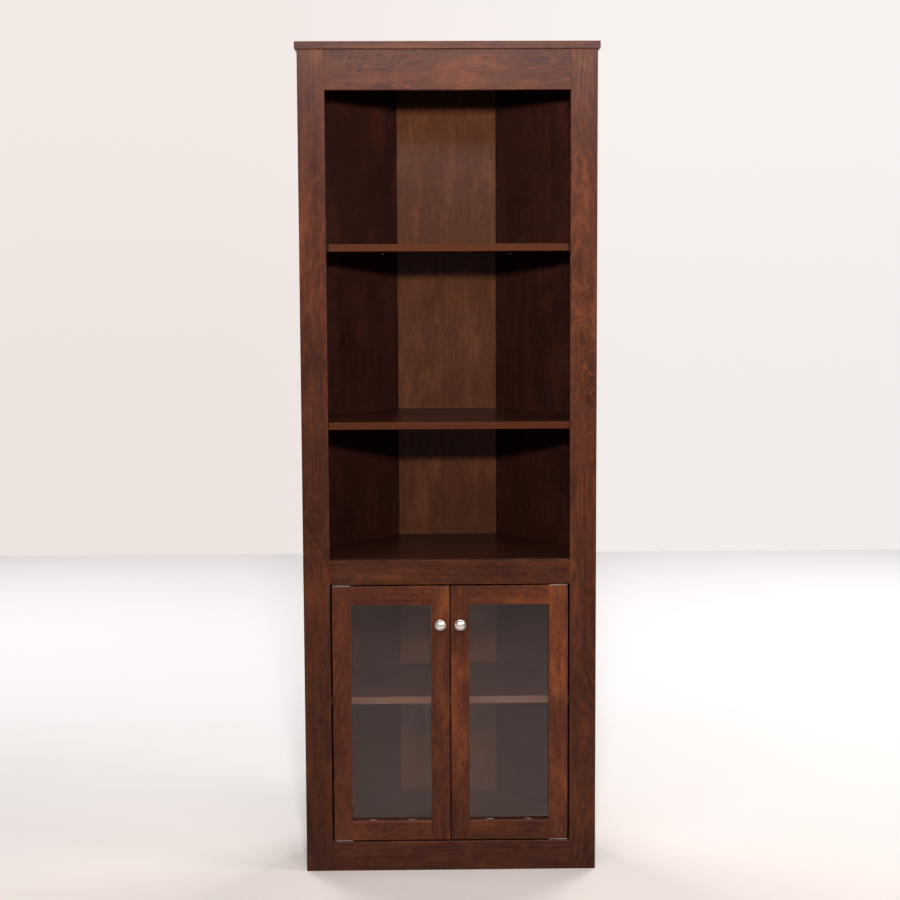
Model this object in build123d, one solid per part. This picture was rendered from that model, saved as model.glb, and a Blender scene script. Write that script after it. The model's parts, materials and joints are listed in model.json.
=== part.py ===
"""Corner bookcase with a face frame, three open bays and a glazed two-door cupboard.

The case fits a room corner: two side boards run back from the face frame, two slanted
boards lie along the walls at 45 degrees, and a narrow back board closes the corner.
Shapes are drawn with the face frame's front plane at depth 0, depth growing towards the
back, and moved at the end so that the origin is the centre of the footprint, on the floor.
"""
from build123d import *
from math import atan2, cos, sin, sqrt
import os

# ---- Driving dimensions, in millimetres ----

# The case
body_width = 646.0  # across the face frame
body_height = 1829.0  # floor to the upper face of the top board
inner_depth = 330.0  # front plane to the inner face of the back board
inner_back_width = 234.0  # inner width of the back board
board = 16.0  # every case board and shelf
arris = 0.8  # broken edge on every visible board

# The face frame
frame_thickness = 18.0
stile_width = 58.0
frieze_height = 86.0
mid_rail_height = 54.0
base_rail_height = 66.0

# The top board
top_side_overhang = 5.0
top_front_overhang = 6.0

# Heights of the shelves
cupboard_height = 584.0  # door opening, from the base rail to the mid rail
lower_bay_height = 290.0  # fixed shelf to the middle shelf
middle_bay_height = 372.0  # middle shelf to the upper shelf
cupboard_shelf_rise = 304.0  # cupboard floor to the underside of the cupboard shelf

# How the shelves sit in the opening
shelf_setback = 2.0  # front of an open shelf behind the front plane
middle_shelf_gap = 1.0  # each side of the middle shelf's tongue, between the stiles
upper_shelf_gap = 5.5  # each side of the upper shelf's tongue
loose_shelf_clearance = 1.0  # loose shelf to the boards around it
cupboard_shelf_setback = 40.0  # front of the cupboard shelf behind the front plane

# The doors
door_thickness = 17.0
door_stile_width = 41.0
door_rail_height = 42.0
door_side_gap = 4.5  # hinge edge to the face frame
door_middle_gap = 3.0  # between the two doors
door_end_gap = 4.0  # above and below the doors
glass_thickness = 3.0
glass_pocket_width = 8.0  # ledge around the opening that holds the pane
glass_pocket_depth = 5.0
glass_clearance = 1.0
clip_half_width = 7.0
clip_thickness = 1.8
clip_gap = 1.0  # clip's lower edge to the edge of the opening
clip_rise = 18.0  # clip's upper edge above the edge of the opening
clip_foot_rise = 6.0  # the same for the foot that holds the pane
clip_screw_diameter = 2.9
clip_screw_rise = 13.0
clip_screw_bite = 8.0  # screw inside the door
clip_head_height = 1.6

# The pivot hinges
leaf_width = 14.0
leaf_thickness = 2.0
pivot_inset = 14.0  # pivot to the door's hinge edge
pivot_diameter = 5.0
pivot_depth = 12.0  # pin inside the door
pivot_clearance = 0.05  # radial, pin to door leaf
washer_diameter = 10.0
washer_clearance = 0.4  # washer to door leaf
leaf_screw_length = 12.0
leaf_screw_shares = (0.37, 0.78)  # screws along the leaf, from the pivot to its far end

# The knobs
knob_diameter = 25.0
knob_reach = 26.0
knob_foot_diameter = 15.0
knob_neck_diameter = 10.0
knob_height = 492.0  # above the door's lower end
knob_screw_bite = 10.0  # screw inside the knob
knob_screw_head_height = 2.4

# The door stop and its catch
stop_half_length = 200.0
stop_overlap = 16.0  # stop strip behind the top of the doors
magnet_diameter = 10.0
magnet_depth = 4.0
strike_diameter = 12.0
strike_thickness = 0.6
strike_spike_diameter = 2.4
strike_spike_length = 8.0
stop_screw_margin = 40.0  # outer screws from the stop's ends
catch_offset = 60.0  # magnet from the middle of the case

# Wooden dowels, cams, pins and screws
dowel_diameter = 8.0
door_dowel_diameter = 6.0
cam_diameter = 15.0
cam_depth = 12.5
cam_setback = 24.0  # cam's centre from the board it pulls on
cam_bolt_diameter = 7.0
cam_bolt_bite = 10.0  # cam bolt inside the board
pin_diameter = 5.0
pin_bite = 9.0
pin_reach = 9.0
spline_thickness = 3.0
spline_width = 12.0
spline_stop = 30.0  # spline's ends from the ends of the boards
screw_diameter = 3.5
long_screw_diameter = 4.0
screw_cover = 4.0  # board left beyond the point of a long screw
fit_clearance = 0.1  # radial, around every dowel, cam, pin and screw
end_clearance = 0.6  # beyond the end of every dowel, pin and screw
overcut = 1.0  # how far a cut runs past the face that it opens

# The wall fixing
cleat_height = 40.0
cleat_half_length = 105.0
cleat_screw_margin = 18.0  # screws from the cleat's ends
anchor_diameter = 5.0
anchor_spacing = 100.0

# ---- Sizes that follow from them ----

half_width = body_width / 2
opening_half = half_width - stile_width
inner_side = half_width - board
body_depth = inner_depth + board
case_top = body_height - board
inner_slant = inner_back_width / 2 + inner_depth  # |x| + depth along the slanted inner face
outer_slant = inner_slant + board * sqrt(2)
front_shift = (knob_reach - body_depth) / 2

door_low = base_rail_height + door_end_gap
opening_top = base_rail_height + cupboard_height
door_high = opening_top - door_end_gap
fixed_shelf_top = opening_top + mid_rail_height
middle_shelf_top = fixed_shelf_top + lower_bay_height + board
upper_shelf_top = middle_shelf_top + middle_bay_height + board
cupboard_floor_top = base_rail_height
cupboard_shelf_top = cupboard_floor_top + cupboard_shelf_rise + board
frieze_low = case_top - frieze_height
cam_heights = [top - board / 2 for top in (cupboard_floor_top, fixed_shelf_top, middle_shelf_top)]

hinge_edge = opening_half - door_side_gap
meeting_edge = door_middle_gap / 2
pane_left = meeting_edge + door_stile_width
pane_right = hinge_edge - door_stile_width
pane_low = door_low + door_rail_height
pane_high = door_high - door_rail_height
pocket_front = door_thickness - glass_pocket_depth
leaf_length = door_stile_width
pivot_x = hinge_edge - pivot_inset
pivot_y = door_thickness / 2
knob_x = meeting_edge + door_stile_width / 2
knob_z = door_low + knob_height
stop_low = door_high - stop_overlap
catch_z = door_high - stop_overlap / 2


# ---- Shapes that many pieces share ----


def block(x, depth, z):
    """A box between pairs of limits."""
    size = [high - low for low, high in (x, depth, z)]
    centre = [(high + low) / 2 for low, high in (x, depth, z)]
    return Pos(*centre) * Box(*size)


def softened(solid):
    """The solid with every edge lightly broken."""
    return chamfer(solid.edges(), arris)


def prism(outline, z):
    """An upright prism over a plan outline."""
    face = make_face(Polyline(*outline, close=True))
    return Pos(0, 0, z[0]) * extrude(face, amount=z[1] - z[0])


def rod(start, along, diameter, length):
    """A round bar from a point, along a direction."""
    bar = Cylinder(diameter / 2, length, align=(Align.CENTER, Align.CENTER, Align.MIN))
    return Plane(origin=start, z_dir=along) * bar


def flat_head_screw(start, along, diameter, length, grow=0.0):
    """A countersunk screw whose head is level with the start; grow makes its hole."""
    head = diameter / 2
    cone = Cone(diameter + grow, diameter / 2 + grow, head, align=(Align.CENTER, Align.CENTER, Align.MIN))
    return Plane(origin=start, z_dir=along) * cone + rod(start, along, diameter + 2 * grow, length)


def round_head_screw(start, along, diameter, length, head_height):
    """A screw with a round head that stands behind the start."""
    shank = rod(start, along, diameter, length)
    head = Cylinder(diameter, head_height, align=(Align.CENTER, Align.CENTER, Align.MAX))
    rim = head.edges().group_by(Axis.Z)[0]
    return Plane(origin=start, z_dir=along) * fillet(rim, head_height * 0.6) + shank


def both_sides(solids):
    """The solids and their mirror images across the middle of the case."""
    return solids + [mirror(solid, about=Plane.YZ) for solid in solids]


def upside_down(solids):
    """Mirror images of the solids across the middle of the door opening."""
    middle = Plane.XY.offset((base_rail_height + opening_top) / 2)
    return [mirror(solid, about=middle) for solid in solids]


def top_and_bottom(solids):
    """The solids at the top of the door opening and their mirror images at the bottom."""
    return solids + upside_down(solids)


def without(solid, holes):
    """The solid with the holes cut from it."""
    for hole in holes:
        solid = solid - hole
    return solid


# ---- Fasteners: each list holds (start, direction, diameter, length) for the right side ----


def bars(places):
    """The fasteners as solids."""
    return [rod(*place) for place in places]


def bar_holes(places):
    """The holes for the fasteners, longer at both ends."""
    holes = []
    for start, along, diameter, length in places:
        step = Vector(*along).normalized() * end_clearance
        begin = Vector(*start) - step
        holes.append(rod(begin, along, diameter + 2 * fit_clearance, length + 2 * end_clearance))
    return holes


def spread(low, high, count):
    """Evenly spaced values from low to high."""
    return [low + (high - low) * index / (count - 1) for index in range(count)]


def on_slant(share):
    """Point on the slanted inner face, share of the way from the back board to the side board."""
    x = inner_back_width / 2 + share * (inner_side - inner_back_width / 2)
    return x, inner_slant - x


def on_side(share, front=frame_thickness):
    """Point on the side board's inner face, share of the way from a front line to the slanted board."""
    return inner_side, front + share * (inner_slant - inner_side - front)


slant_out = (1, 1, 0)


def rail_dowels():
    """Dowels between the stiles and the three rails."""
    reach = 18.0
    places = []
    for low, height in ((frieze_low, frieze_height), (opening_top, mid_rail_height), (0, base_rail_height)):
        for z in (low + height * 0.25, low + height * 0.75):
            start = (opening_half - reach, frame_thickness / 2, z)
            places.append((start, (1, 0, 0), dowel_diameter, 2 * reach))
    return places


def stile_dowels():
    """Dowels between the backs of the stiles and the side boards."""
    in_stile, in_board, count, margin = 9.0, 20.0, 5, 110.0
    places = []
    for z in spread(margin, case_top - margin, count):
        start = (half_width - board / 2, frame_thickness - in_stile, z)
        places.append((start, (0, 1, 0), dowel_diameter, in_stile + in_board))
    return places


def top_dowels():
    """Dowels between the top board and the boards that it stands on."""
    in_top, in_board = 9.0, 20.0
    half = board / 2 / sqrt(2)
    points = []
    for share in (0.25, 0.75):
        x, depth = on_side(share)
        points.append((x + board / 2, depth))
    points.append((inner_back_width / 4, inner_depth + board / 2))
    for share in (0.2, 0.8):
        x, depth = on_slant(share)
        points.append((x + half, depth + half))
    length = in_top + in_board
    return [((x, depth, case_top - in_board), (0, 0, 1), dowel_diameter, length) for x, depth in points]


def cam_lines(z):
    """Where one fixed board is pulled on to the boards around it: point on the joint, way out."""
    return [((*on_side(0.5), z), (1, 0, 0)), ((*on_slant(0.5), z), slant_out)]


def cam_bolts(z):
    """Steel bolts that stand in the case boards and reach the cams."""
    inside = cam_setback - cam_diameter / 2 - end_clearance * 2
    places = []
    for point, way_out in cam_lines(z):
        start = Vector(*point) - Vector(*way_out).normalized() * inside
        places.append((tuple(start), way_out, cam_bolt_diameter, inside + cam_bolt_bite))
    return places


def cam_centres(z):
    """Centre lines of the cams in one fixed board."""
    return [Vector(*point) - Vector(*way_out).normalized() * cam_setback for point, way_out in cam_lines(z)]


def cams(z):
    """The cams of one fixed board, let in from its underside."""
    underside = z - board / 2
    centres = cam_centres(z)
    return [rod((c.X, c.Y, underside), (0, 0, 1), cam_diameter, cam_depth) for c in centres]


def cam_pockets(z):
    """The pockets for the cams and their bolts in one fixed board."""
    underside = z - board / 2
    wide = cam_diameter + 2 * fit_clearance
    pockets = []
    for c in cam_centres(z):
        start = (c.X, c.Y, underside - overcut)
        pockets.append(rod(start, (0, 0, 1), wide, cam_depth + overcut + end_clearance))
    return pockets + bar_holes(cam_bolts(z))


def shelf_pins(shelf_top, shelf_front):
    """Pins under one loose shelf: one in the side board, one in the slanted board."""
    z = shelf_top - board - pin_diameter / 2
    places = []
    for point, way_out in (((*on_side(0.4, shelf_front), z), (1, 0, 0)), ((*on_slant(0.2), z), slant_out)):
        start = Vector(*point) - Vector(*way_out).normalized() * pin_reach
        places.append((tuple(start), way_out, pin_diameter, pin_reach + pin_bite))
    return places


upper_pins = shelf_pins(upper_shelf_top, frame_thickness)
cupboard_pins = shelf_pins(cupboard_shelf_top, cupboard_shelf_setback)


def door_dowels():
    """Dowels between the stiles and rails of the right door."""
    reach, first, second = 16.0, 16.0, 28.0
    places = []
    for joint in (pane_left, pane_right):
        for z in (door_high - first, door_high - second, door_low + first, door_low + second):
            start = (joint - reach, door_thickness / 2, z)
            places.append((start, (1, 0, 0), door_dowel_diameter, 2 * reach))
    return places


# ---- The case ----


def spline_bar(inner, outer, grow):
    """A loose tongue across the mitre between an inner and an outer corner."""
    middle = (inner + outer) * 0.5
    across = (outer - inner).normalized()
    bar = Box(spline_thickness + 2 * grow, spline_width + 2 * grow, case_top - 2 * spline_stop + 2 * grow)
    plane = Plane(origin=(middle.X, middle.Y, case_top / 2), x_dir=across, z_dir=(0, 0, 1))
    return plane * bar


side_inner_corner = Vector(inner_side, inner_slant - inner_side)
side_outer_corner = Vector(half_width, outer_slant - half_width)
back_inner_corner = Vector(inner_back_width / 2, inner_depth)
back_outer_corner = Vector(outer_slant - body_depth, body_depth)


def mitre_splines(grow=0.0):
    """The two tongues on the right side of the case."""
    side = spline_bar(side_inner_corner, side_outer_corner, grow)
    back = spline_bar(back_inner_corner, back_outer_corner, grow)
    return [side, back]


def plan_points(*corners):
    """Corners as plain pairs."""
    return [(corner.X, corner.Y) for corner in corners]


def side_board():
    """The right side board, from the face frame to the slanted board."""
    front_inner = Vector(inner_side, frame_thickness)
    front_outer = Vector(half_width, frame_thickness)
    outline = plan_points(front_inner, front_outer, side_outer_corner, side_inner_corner)
    bores = bar_holes(stile_dowels() + top_dowels()[:2] + upper_pins[:1] + cupboard_pins[:1])
    for z in cam_heights:
        bores += bar_holes(cam_bolts(z)[:1])
    return without(prism(outline, (0, case_top)), bores + mitre_splines(fit_clearance)[:1])


def slanted_board():
    """The right slanted board, along the wall."""
    outline = plan_points(side_inner_corner, side_outer_corner, back_outer_corner, back_inner_corner)
    bores = bar_holes(top_dowels()[3:] + upper_pins[1:] + cupboard_pins[1:])
    for z in cam_heights:
        bores += bar_holes(cam_bolts(z)[1:])
    return without(prism(outline, (0, case_top)), bores + mitre_splines(fit_clearance))


def anchor_holes():
    """Holes for the wall fixing, through the cleat and the back board."""
    start = (anchor_spacing / 2, inner_depth - board - overcut, case_top - cleat_height / 2)
    return both_sides([rod(start, (0, 1, 0), anchor_diameter, 2 * (board + overcut))])


def cleat_screw(grow=0.0):
    """Right screw from the cleat into the back board."""
    start = (cleat_half_length - cleat_screw_margin, inner_depth - board, case_top - cleat_height / 2)
    return flat_head_screw(start, (0, 1, 0), long_screw_diameter, 2 * board - screw_cover, grow)


def back_board():
    """The narrow board in the corner."""
    right = [back_inner_corner, back_outer_corner]
    left = [Vector(-corner.X, corner.Y) for corner in reversed(right)]
    bores = bar_holes(top_dowels()[2:3]) + mitre_splines(fit_clearance)[1:] + [cleat_screw(fit_clearance)]
    return without(prism(plan_points(*right, *left), (0, case_top)), both_sides(bores) + anchor_holes())


def wall_cleat():
    """The strip under the top board that the wall fixing goes through."""
    x = (-cleat_half_length, cleat_half_length)
    strip = block(x, (inner_depth - board, inner_depth), (case_top - cleat_height, case_top))
    return without(strip, both_sides([cleat_screw(fit_clearance)]) + anchor_holes())


def top_board():
    """The top board, over the face frame and the sides, level with the walls at the back."""
    side = half_width + top_side_overhang
    right = [Vector(side, -top_front_overhang), Vector(side, outer_slant - side), back_outer_corner]
    left = [Vector(-corner.X, corner.Y) for corner in reversed(right)]
    slab = softened(prism(plan_points(*right, *left), (case_top, body_height)))
    return without(slab, both_sides(bar_holes(top_dowels())))


def right_stile():
    """The right stile of the face frame."""
    post = softened(block((opening_half, half_width), (0, frame_thickness), (0, case_top)))
    return without(post, bar_holes(rail_dowels() + stile_dowels()))


def frame_rail(low, high, first_dowel):
    """A rail of the face frame, with the bores for its own dowels."""
    rail = softened(block((-opening_half, opening_half), (0, frame_thickness), (low, high)))
    dowels = rail_dowels()[first_dowel:first_dowel + 2]
    return without(rail, both_sides(bar_holes(dowels)))


def mid_rail():
    """The rail over the doors, recessed for the upper pivot leaves."""
    rail = frame_rail(opening_top, fixed_shelf_top, 2)
    return without(rail, both_sides(frame_leaf_recess()) + stop_screws(fit_clearance))


def base_rail():
    """The rail under the doors, recessed for the lower pivot leaves."""
    rail = frame_rail(0, base_rail_height, 4)
    return without(rail, both_sides(upside_down(frame_leaf_recess())))


def shelf_outline(front, clearance):
    """Plan of a board that fills the case behind a front line."""
    side = inner_side - clearance
    back = inner_depth - clearance
    slant = inner_slant - clearance * sqrt(2)
    right = [Vector(side, front), Vector(side, slant - side), Vector(slant - back, back)]
    left = [Vector(-corner.X, corner.Y) for corner in reversed(right)]
    return plan_points(*right, *left)


def fixed_board(top, tongue_gap=None):
    """A board held by cams, with a tongue between the stiles if it has a gap there."""
    slab = prism(shelf_outline(frame_thickness, 0), (top - board, top))
    if tongue_gap is not None:
        slab = slab + shelf_tongue(top, tongue_gap, frame_thickness)
    return without(slab, both_sides(cam_pockets(top - board / 2)))


def shelf_tongue(top, gap, back):
    """The front of an open shelf, between the stiles, with a broken front edge."""
    x = (-opening_half + gap, opening_half - gap)
    tongue = block(x, (shelf_setback, back), (top - board, top))
    front_edges = tongue.edges().group_by(Axis.Y)[0]
    return chamfer(front_edges, arris)


def upper_shelf():
    """The loose shelf of the open part."""
    back = frame_thickness + loose_shelf_clearance
    slab = prism(shelf_outline(back, loose_shelf_clearance), (upper_shelf_top - board, upper_shelf_top))
    return slab + shelf_tongue(upper_shelf_top, upper_shelf_gap, back)


def cupboard_shelf():
    """The loose shelf behind the doors."""
    outline = shelf_outline(cupboard_shelf_setback, loose_shelf_clearance)
    return prism(outline, (cupboard_shelf_top - board, cupboard_shelf_top))


def stop_screws(grow=0.0):
    """Screws from the door stop into the mid rail."""
    screws = []
    outer = stop_half_length - stop_screw_margin
    length = board + frame_thickness - screw_cover
    for x in spread(-outer, outer, 3):
        start = (x, frame_thickness + board, opening_top + mid_rail_height / 3)
        screws.append(flat_head_screw(start, (0, -1, 0), long_screw_diameter, length, grow))
    return screws


def magnets(grow=0.0):
    """The catch magnets in the front of the door stop."""
    start = (catch_offset, frame_thickness, catch_z)
    return both_sides([rod(start, (0, 1, 0), magnet_diameter + 2 * grow, magnet_depth + grow)])


def door_stop():
    """The strip behind the mid rail that the doors close against."""
    x = (-stop_half_length, stop_half_length)
    strip = block(x, (frame_thickness, frame_thickness + board), (stop_low, fixed_shelf_top - board))
    return without(strip, stop_screws(fit_clearance) + magnets(fit_clearance))


# ---- The pivot hinges ----

leaf_front = pivot_y - leaf_width / 2
leaf_screw_places = [pivot_x - share * (leaf_length - pivot_inset) for share in leaf_screw_shares]


def leaf_plate(low, grow=0.0):
    """A hinge leaf's plate on the right side, over the door's hinge stile."""
    x = (hinge_edge - leaf_length - grow, hinge_edge - arris + grow)
    return block(x, (leaf_front - grow, leaf_front + leaf_width + grow), (low, low + leaf_thickness))


def frame_leaf_screws(grow=0.0):
    """Screws of the upper right frame leaf."""
    screws = []
    for x in leaf_screw_places:
        start = (x, pivot_y, opening_top)
        screws.append(flat_head_screw(start, (0, 0, 1), screw_diameter, leaf_screw_length, grow))
    return screws


def frame_leaf():
    """The upper right frame leaf with its pin, which points down into the door."""
    pin_top = opening_top + leaf_thickness
    pin = rod((pivot_x, pivot_y, pin_top), (0, 0, -1), pivot_diameter, pin_top - door_high + pivot_depth)
    return without(leaf_plate(opening_top) + pin, frame_leaf_screws(fit_clearance))


def frame_leaf_recess():
    """What the upper right frame leaf and its screws need in the rail."""
    return [leaf_plate(opening_top, fit_clearance)] + frame_leaf_screws(fit_clearance)


def door_leaf_screws(grow=0.0):
    """Screws of the upper door leaf."""
    screws = []
    for x in leaf_screw_places:
        start = (x, pivot_y, door_high + leaf_thickness)
        screws.append(flat_head_screw(start, (0, 0, -1), screw_diameter, leaf_screw_length, grow))
    return screws


def door_leaf():
    """The upper door leaf, with a running hole for the pin."""
    start = (pivot_x, pivot_y, door_high - overcut)
    hole = rod(start, (0, 0, 1), pivot_diameter + 2 * pivot_clearance, leaf_thickness + 2 * overcut)
    return without(leaf_plate(door_high), door_leaf_screws(fit_clearance) + [hole])


def pivot_washer():
    """The upper right washer, under the frame leaf."""
    height = door_end_gap - leaf_thickness - washer_clearance
    start = (pivot_x, pivot_y, opening_top - height)
    ring = rod(start, (0, 0, 1), washer_diameter, height)
    return ring - rod(start, (0, 0, 1), pivot_diameter + 2 * fit_clearance, height)


# ---- The right door ----


def glass_pocket():
    """The space behind the front lip that the pane and its clips use."""
    x = (pane_left - glass_pocket_width, pane_right + glass_pocket_width)
    z = (pane_low - glass_pocket_width, pane_high + glass_pocket_width)
    return block(x, (pocket_front, door_thickness), z)


def clip_places():
    """Where the glass clips sit: point on the opening's edge, turn about the depth axis."""
    along_rail, along_stile = 45.0, 120.0
    places = []
    for x in (pane_left + along_rail, pane_right - along_rail):
        places.append(((x, 0, pane_high), 0))
        places.append(((x, 0, pane_low), 180))
    for z in (pane_low + along_stile, pane_high - along_stile):
        places.append(((pane_right, 0, z), 90))
        places.append(((pane_left, 0, z), -90))
    return places


def glass_clip():
    """A clip over the top edge of the opening: a plate on the rail and a foot on the pane."""
    across = (-clip_half_width, clip_half_width)
    plate = block(across, (door_thickness, door_thickness + clip_thickness), (clip_gap, clip_rise))
    foot = block(across, (pocket_front + glass_thickness, door_thickness), (clip_gap, clip_foot_rise))
    hole_start = (0, door_thickness - overcut, clip_screw_rise)
    hole_diameter = clip_screw_diameter + 2 * fit_clearance
    return plate + foot - rod(hole_start, (0, 1, 0), hole_diameter, clip_thickness + 2 * overcut)


def clip_screw():
    """The screw of a clip over the top edge of the opening."""
    start = (0, door_thickness + clip_thickness, clip_screw_rise)
    length = clip_thickness + clip_screw_bite
    return round_head_screw(start, (0, -1, 0), clip_screw_diameter, length, clip_head_height)


def clip_screw_hole():
    """The hole for that screw in the door."""
    start = (0, door_thickness + overcut, clip_screw_rise)
    length = overcut + clip_screw_bite + end_clearance
    return rod(start, (0, -1, 0), clip_screw_diameter + 2 * fit_clearance, length)


def at_clips(solid):
    """The solid at every clip of the right door."""
    return [Pos(*point) * Rot(0, turn, 0) * solid for point, turn in clip_places()]


def knob_screw():
    """The screw through the meeting stile into the knob."""
    start = (knob_x, door_thickness, knob_z)
    length = door_thickness + knob_screw_bite
    return round_head_screw(start, (0, -1, 0), long_screw_diameter, length, knob_screw_head_height)


def knob():
    """A turned knob: a flared foot, a narrow neck and a domed head."""
    foot, neck, head = knob_foot_diameter / 2, knob_neck_diameter / 2, knob_diameter / 2
    neck_end, rim_start, rim_end, rim_round = 9.0, 14.0, 18.0, 0.8
    rim_middle = (rim_start + rim_end) / 2
    crown, edge = knob_reach - rim_end, head - rim_round
    dome_radius = (edge**2 + crown**2) / (2 * crown)
    half_turn = atan2(edge, dome_radius - crown) / 2
    dome_middle = (dome_radius * sin(half_turn), knob_reach - dome_radius * (1 - cos(half_turn)))
    profile = [
        Polyline((0, 0), (foot, 0), (foot, 1.5)),
        ThreePointArc((foot, 1.5), (neck + 0.8, 3.6), (neck, neck_end)),
        ThreePointArc((neck, neck_end), (neck + 2.6, rim_start - 1.6), (edge, rim_start)),
        ThreePointArc((edge, rim_start), (head, rim_middle), (edge, rim_end)),
        ThreePointArc((edge, rim_end), dome_middle, (0, knob_reach)),
        Line((0, knob_reach), (0, 0)),
    ]
    turned = revolve(Plane.XZ * make_face(profile), Axis.Z)
    bore = Cylinder(long_screw_diameter / 2 + fit_clearance, 2 * (knob_screw_bite + end_clearance))
    return Plane(origin=(knob_x, 0, knob_z), z_dir=(0, -1, 0)) * (turned - bore)


def strike():
    """The disc that the magnet holds, with its spike in the door's top rail."""
    disc = rod((catch_offset, door_thickness, catch_z), (0, 1, 0), strike_diameter, strike_thickness)
    spike = rod((catch_offset, door_thickness, catch_z), (0, -1, 0), strike_spike_diameter, strike_spike_length)
    return disc + spike


def door_member(x, z):
    """One stile or rail of the right door, with its part of the pocket for the pane."""
    return softened(block(x, (0, door_thickness), z)) - glass_pocket()


def strike_bore():
    """The bore for the strike's spike."""
    start = (catch_offset, door_thickness + overcut, catch_z)
    length = overcut + strike_spike_length + end_clearance
    return rod(start, (0, -1, 0), strike_spike_diameter + 2 * fit_clearance, length)


def knob_bore():
    """The bore for the knob's screw, right through the meeting stile."""
    diameter = long_screw_diameter + 2 * fit_clearance
    return rod((knob_x, -overcut, knob_z), (0, 1, 0), diameter, door_thickness + 2 * overcut)


def pivot_bore():
    """The bore for the upper pin."""
    start = (pivot_x, pivot_y, door_high - pivot_depth - end_clearance)
    return rod(start, (0, 0, 1), pivot_diameter + 2 * fit_clearance, pivot_depth + end_clearance + overcut)


def right_door():
    """Every node of the right door, by its name without the side."""
    height = (door_low, door_high)
    across = (pane_left, pane_right)
    dowels = bar_holes(door_dowels())
    clip_holes = at_clips(clip_screw_hole())
    leaf_bores = top_and_bottom(door_leaf_screws(fit_clearance) + [pivot_bore()])
    hinge_stile = door_member((pane_right, hinge_edge), height)
    meeting_stile = door_member((meeting_edge, pane_left), height)
    top_rail = door_member(across, (pane_high, door_high))
    bottom_rail = door_member(across, (door_low, pane_low))
    reach = glass_pocket_width - glass_clearance
    pane_x = (pane_left - reach, pane_right + reach)
    pane_z = (pane_low - reach, pane_high + reach)
    pane = block(pane_x, (pocket_front, pocket_front + glass_thickness), pane_z)
    return {
        "door_hinge_stile": [without(hinge_stile, dowels[4:] + clip_holes + leaf_bores)],
        "door_meeting_stile": [without(meeting_stile, dowels[:4] + clip_holes + [knob_bore()])],
        "door_top_rail": [without(top_rail, dowels + clip_holes + [strike_bore()])],
        "door_bottom_rail": [without(bottom_rail, dowels + clip_holes)],
        "door_glass": [pane],
        "door_glass_clips": at_clips(glass_clip()),
        "door_clip_screws": at_clips(clip_screw()),
        "door_dowels": bars(door_dowels()),
        "door_pivot_leaves": top_and_bottom([door_leaf()]),
        "door_pivot_screws": top_and_bottom(door_leaf_screws()),
        "door_knob": [knob()],
        "door_knob_screw": [knob_screw()],
        "door_strike": [strike()],
    }


# ---- Every node by name ----


def build_nodes():
    """All the nodes of the bookcase, each as a list of solids."""
    right_side, right_slant, stile = side_board(), slanted_board(), right_stile()
    nodes = {
        "top_board": [top_board()],
        "right_stile": [stile],
        "left_stile": [mirror(stile, about=Plane.YZ)],
        "frieze_rail": [frame_rail(frieze_low, case_top, 0)],
        "mid_rail": [mid_rail()],
        "base_rail": [base_rail()],
        "right_side_board": [right_side],
        "left_side_board": [mirror(right_side, about=Plane.YZ)],
        "right_slanted_board": [right_slant],
        "left_slanted_board": [mirror(right_slant, about=Plane.YZ)],
        "back_board": [back_board()],
        "upper_shelf": [upper_shelf()],
        "middle_shelf": [fixed_board(middle_shelf_top, middle_shelf_gap)],
        "fixed_shelf": [fixed_board(fixed_shelf_top)],
        "cupboard_shelf": [cupboard_shelf()],
        "cupboard_floor": [fixed_board(cupboard_floor_top)],
        "wall_cleat": [wall_cleat()],
        "cleat_screws": both_sides([cleat_screw()]),
        "door_stop": [door_stop()],
        "door_stop_screws": stop_screws(),
        "catch_magnets": magnets(),
        "upper_shelf_pins": both_sides(bars(upper_pins)),
        "cupboard_shelf_pins": both_sides(bars(cupboard_pins)),
        "rail_dowels": both_sides(bars(rail_dowels())),
        "stile_dowels": both_sides(bars(stile_dowels())),
        "top_dowels": both_sides(bars(top_dowels())),
        "mitre_splines": both_sides(mitre_splines()),
        "cams": [cam for z in cam_heights for cam in both_sides(cams(z))],
        "cam_bolts": [bolt for z in cam_heights for bolt in both_sides(bars(cam_bolts(z)))],
        "frame_pivot_leaves": both_sides(top_and_bottom([frame_leaf()])),
        "frame_pivot_screws": both_sides(top_and_bottom(frame_leaf_screws())),
        "pivot_washers": both_sides(top_and_bottom([pivot_washer()])),
    }
    for name, solids in right_door().items():
        nodes["right_" + name] = solids
        nodes["left_" + name] = [mirror(solid, about=Plane.YZ) for solid in solids]
    return nodes


os.makedirs("parts", exist_ok=True)
for node, solids in build_nodes().items():
    placed = [Pos(0, front_shift, 0) * solid for solid in solids]
    shape = placed[0] if len(placed) == 1 else Compound(children=placed)
    export_step(shape, f"parts/{node}.step")
    print(node, len(solids))
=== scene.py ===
import json
import math
import bmesh
import bpy
import numpy as np
from mathutils import Matrix, Vector

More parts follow.
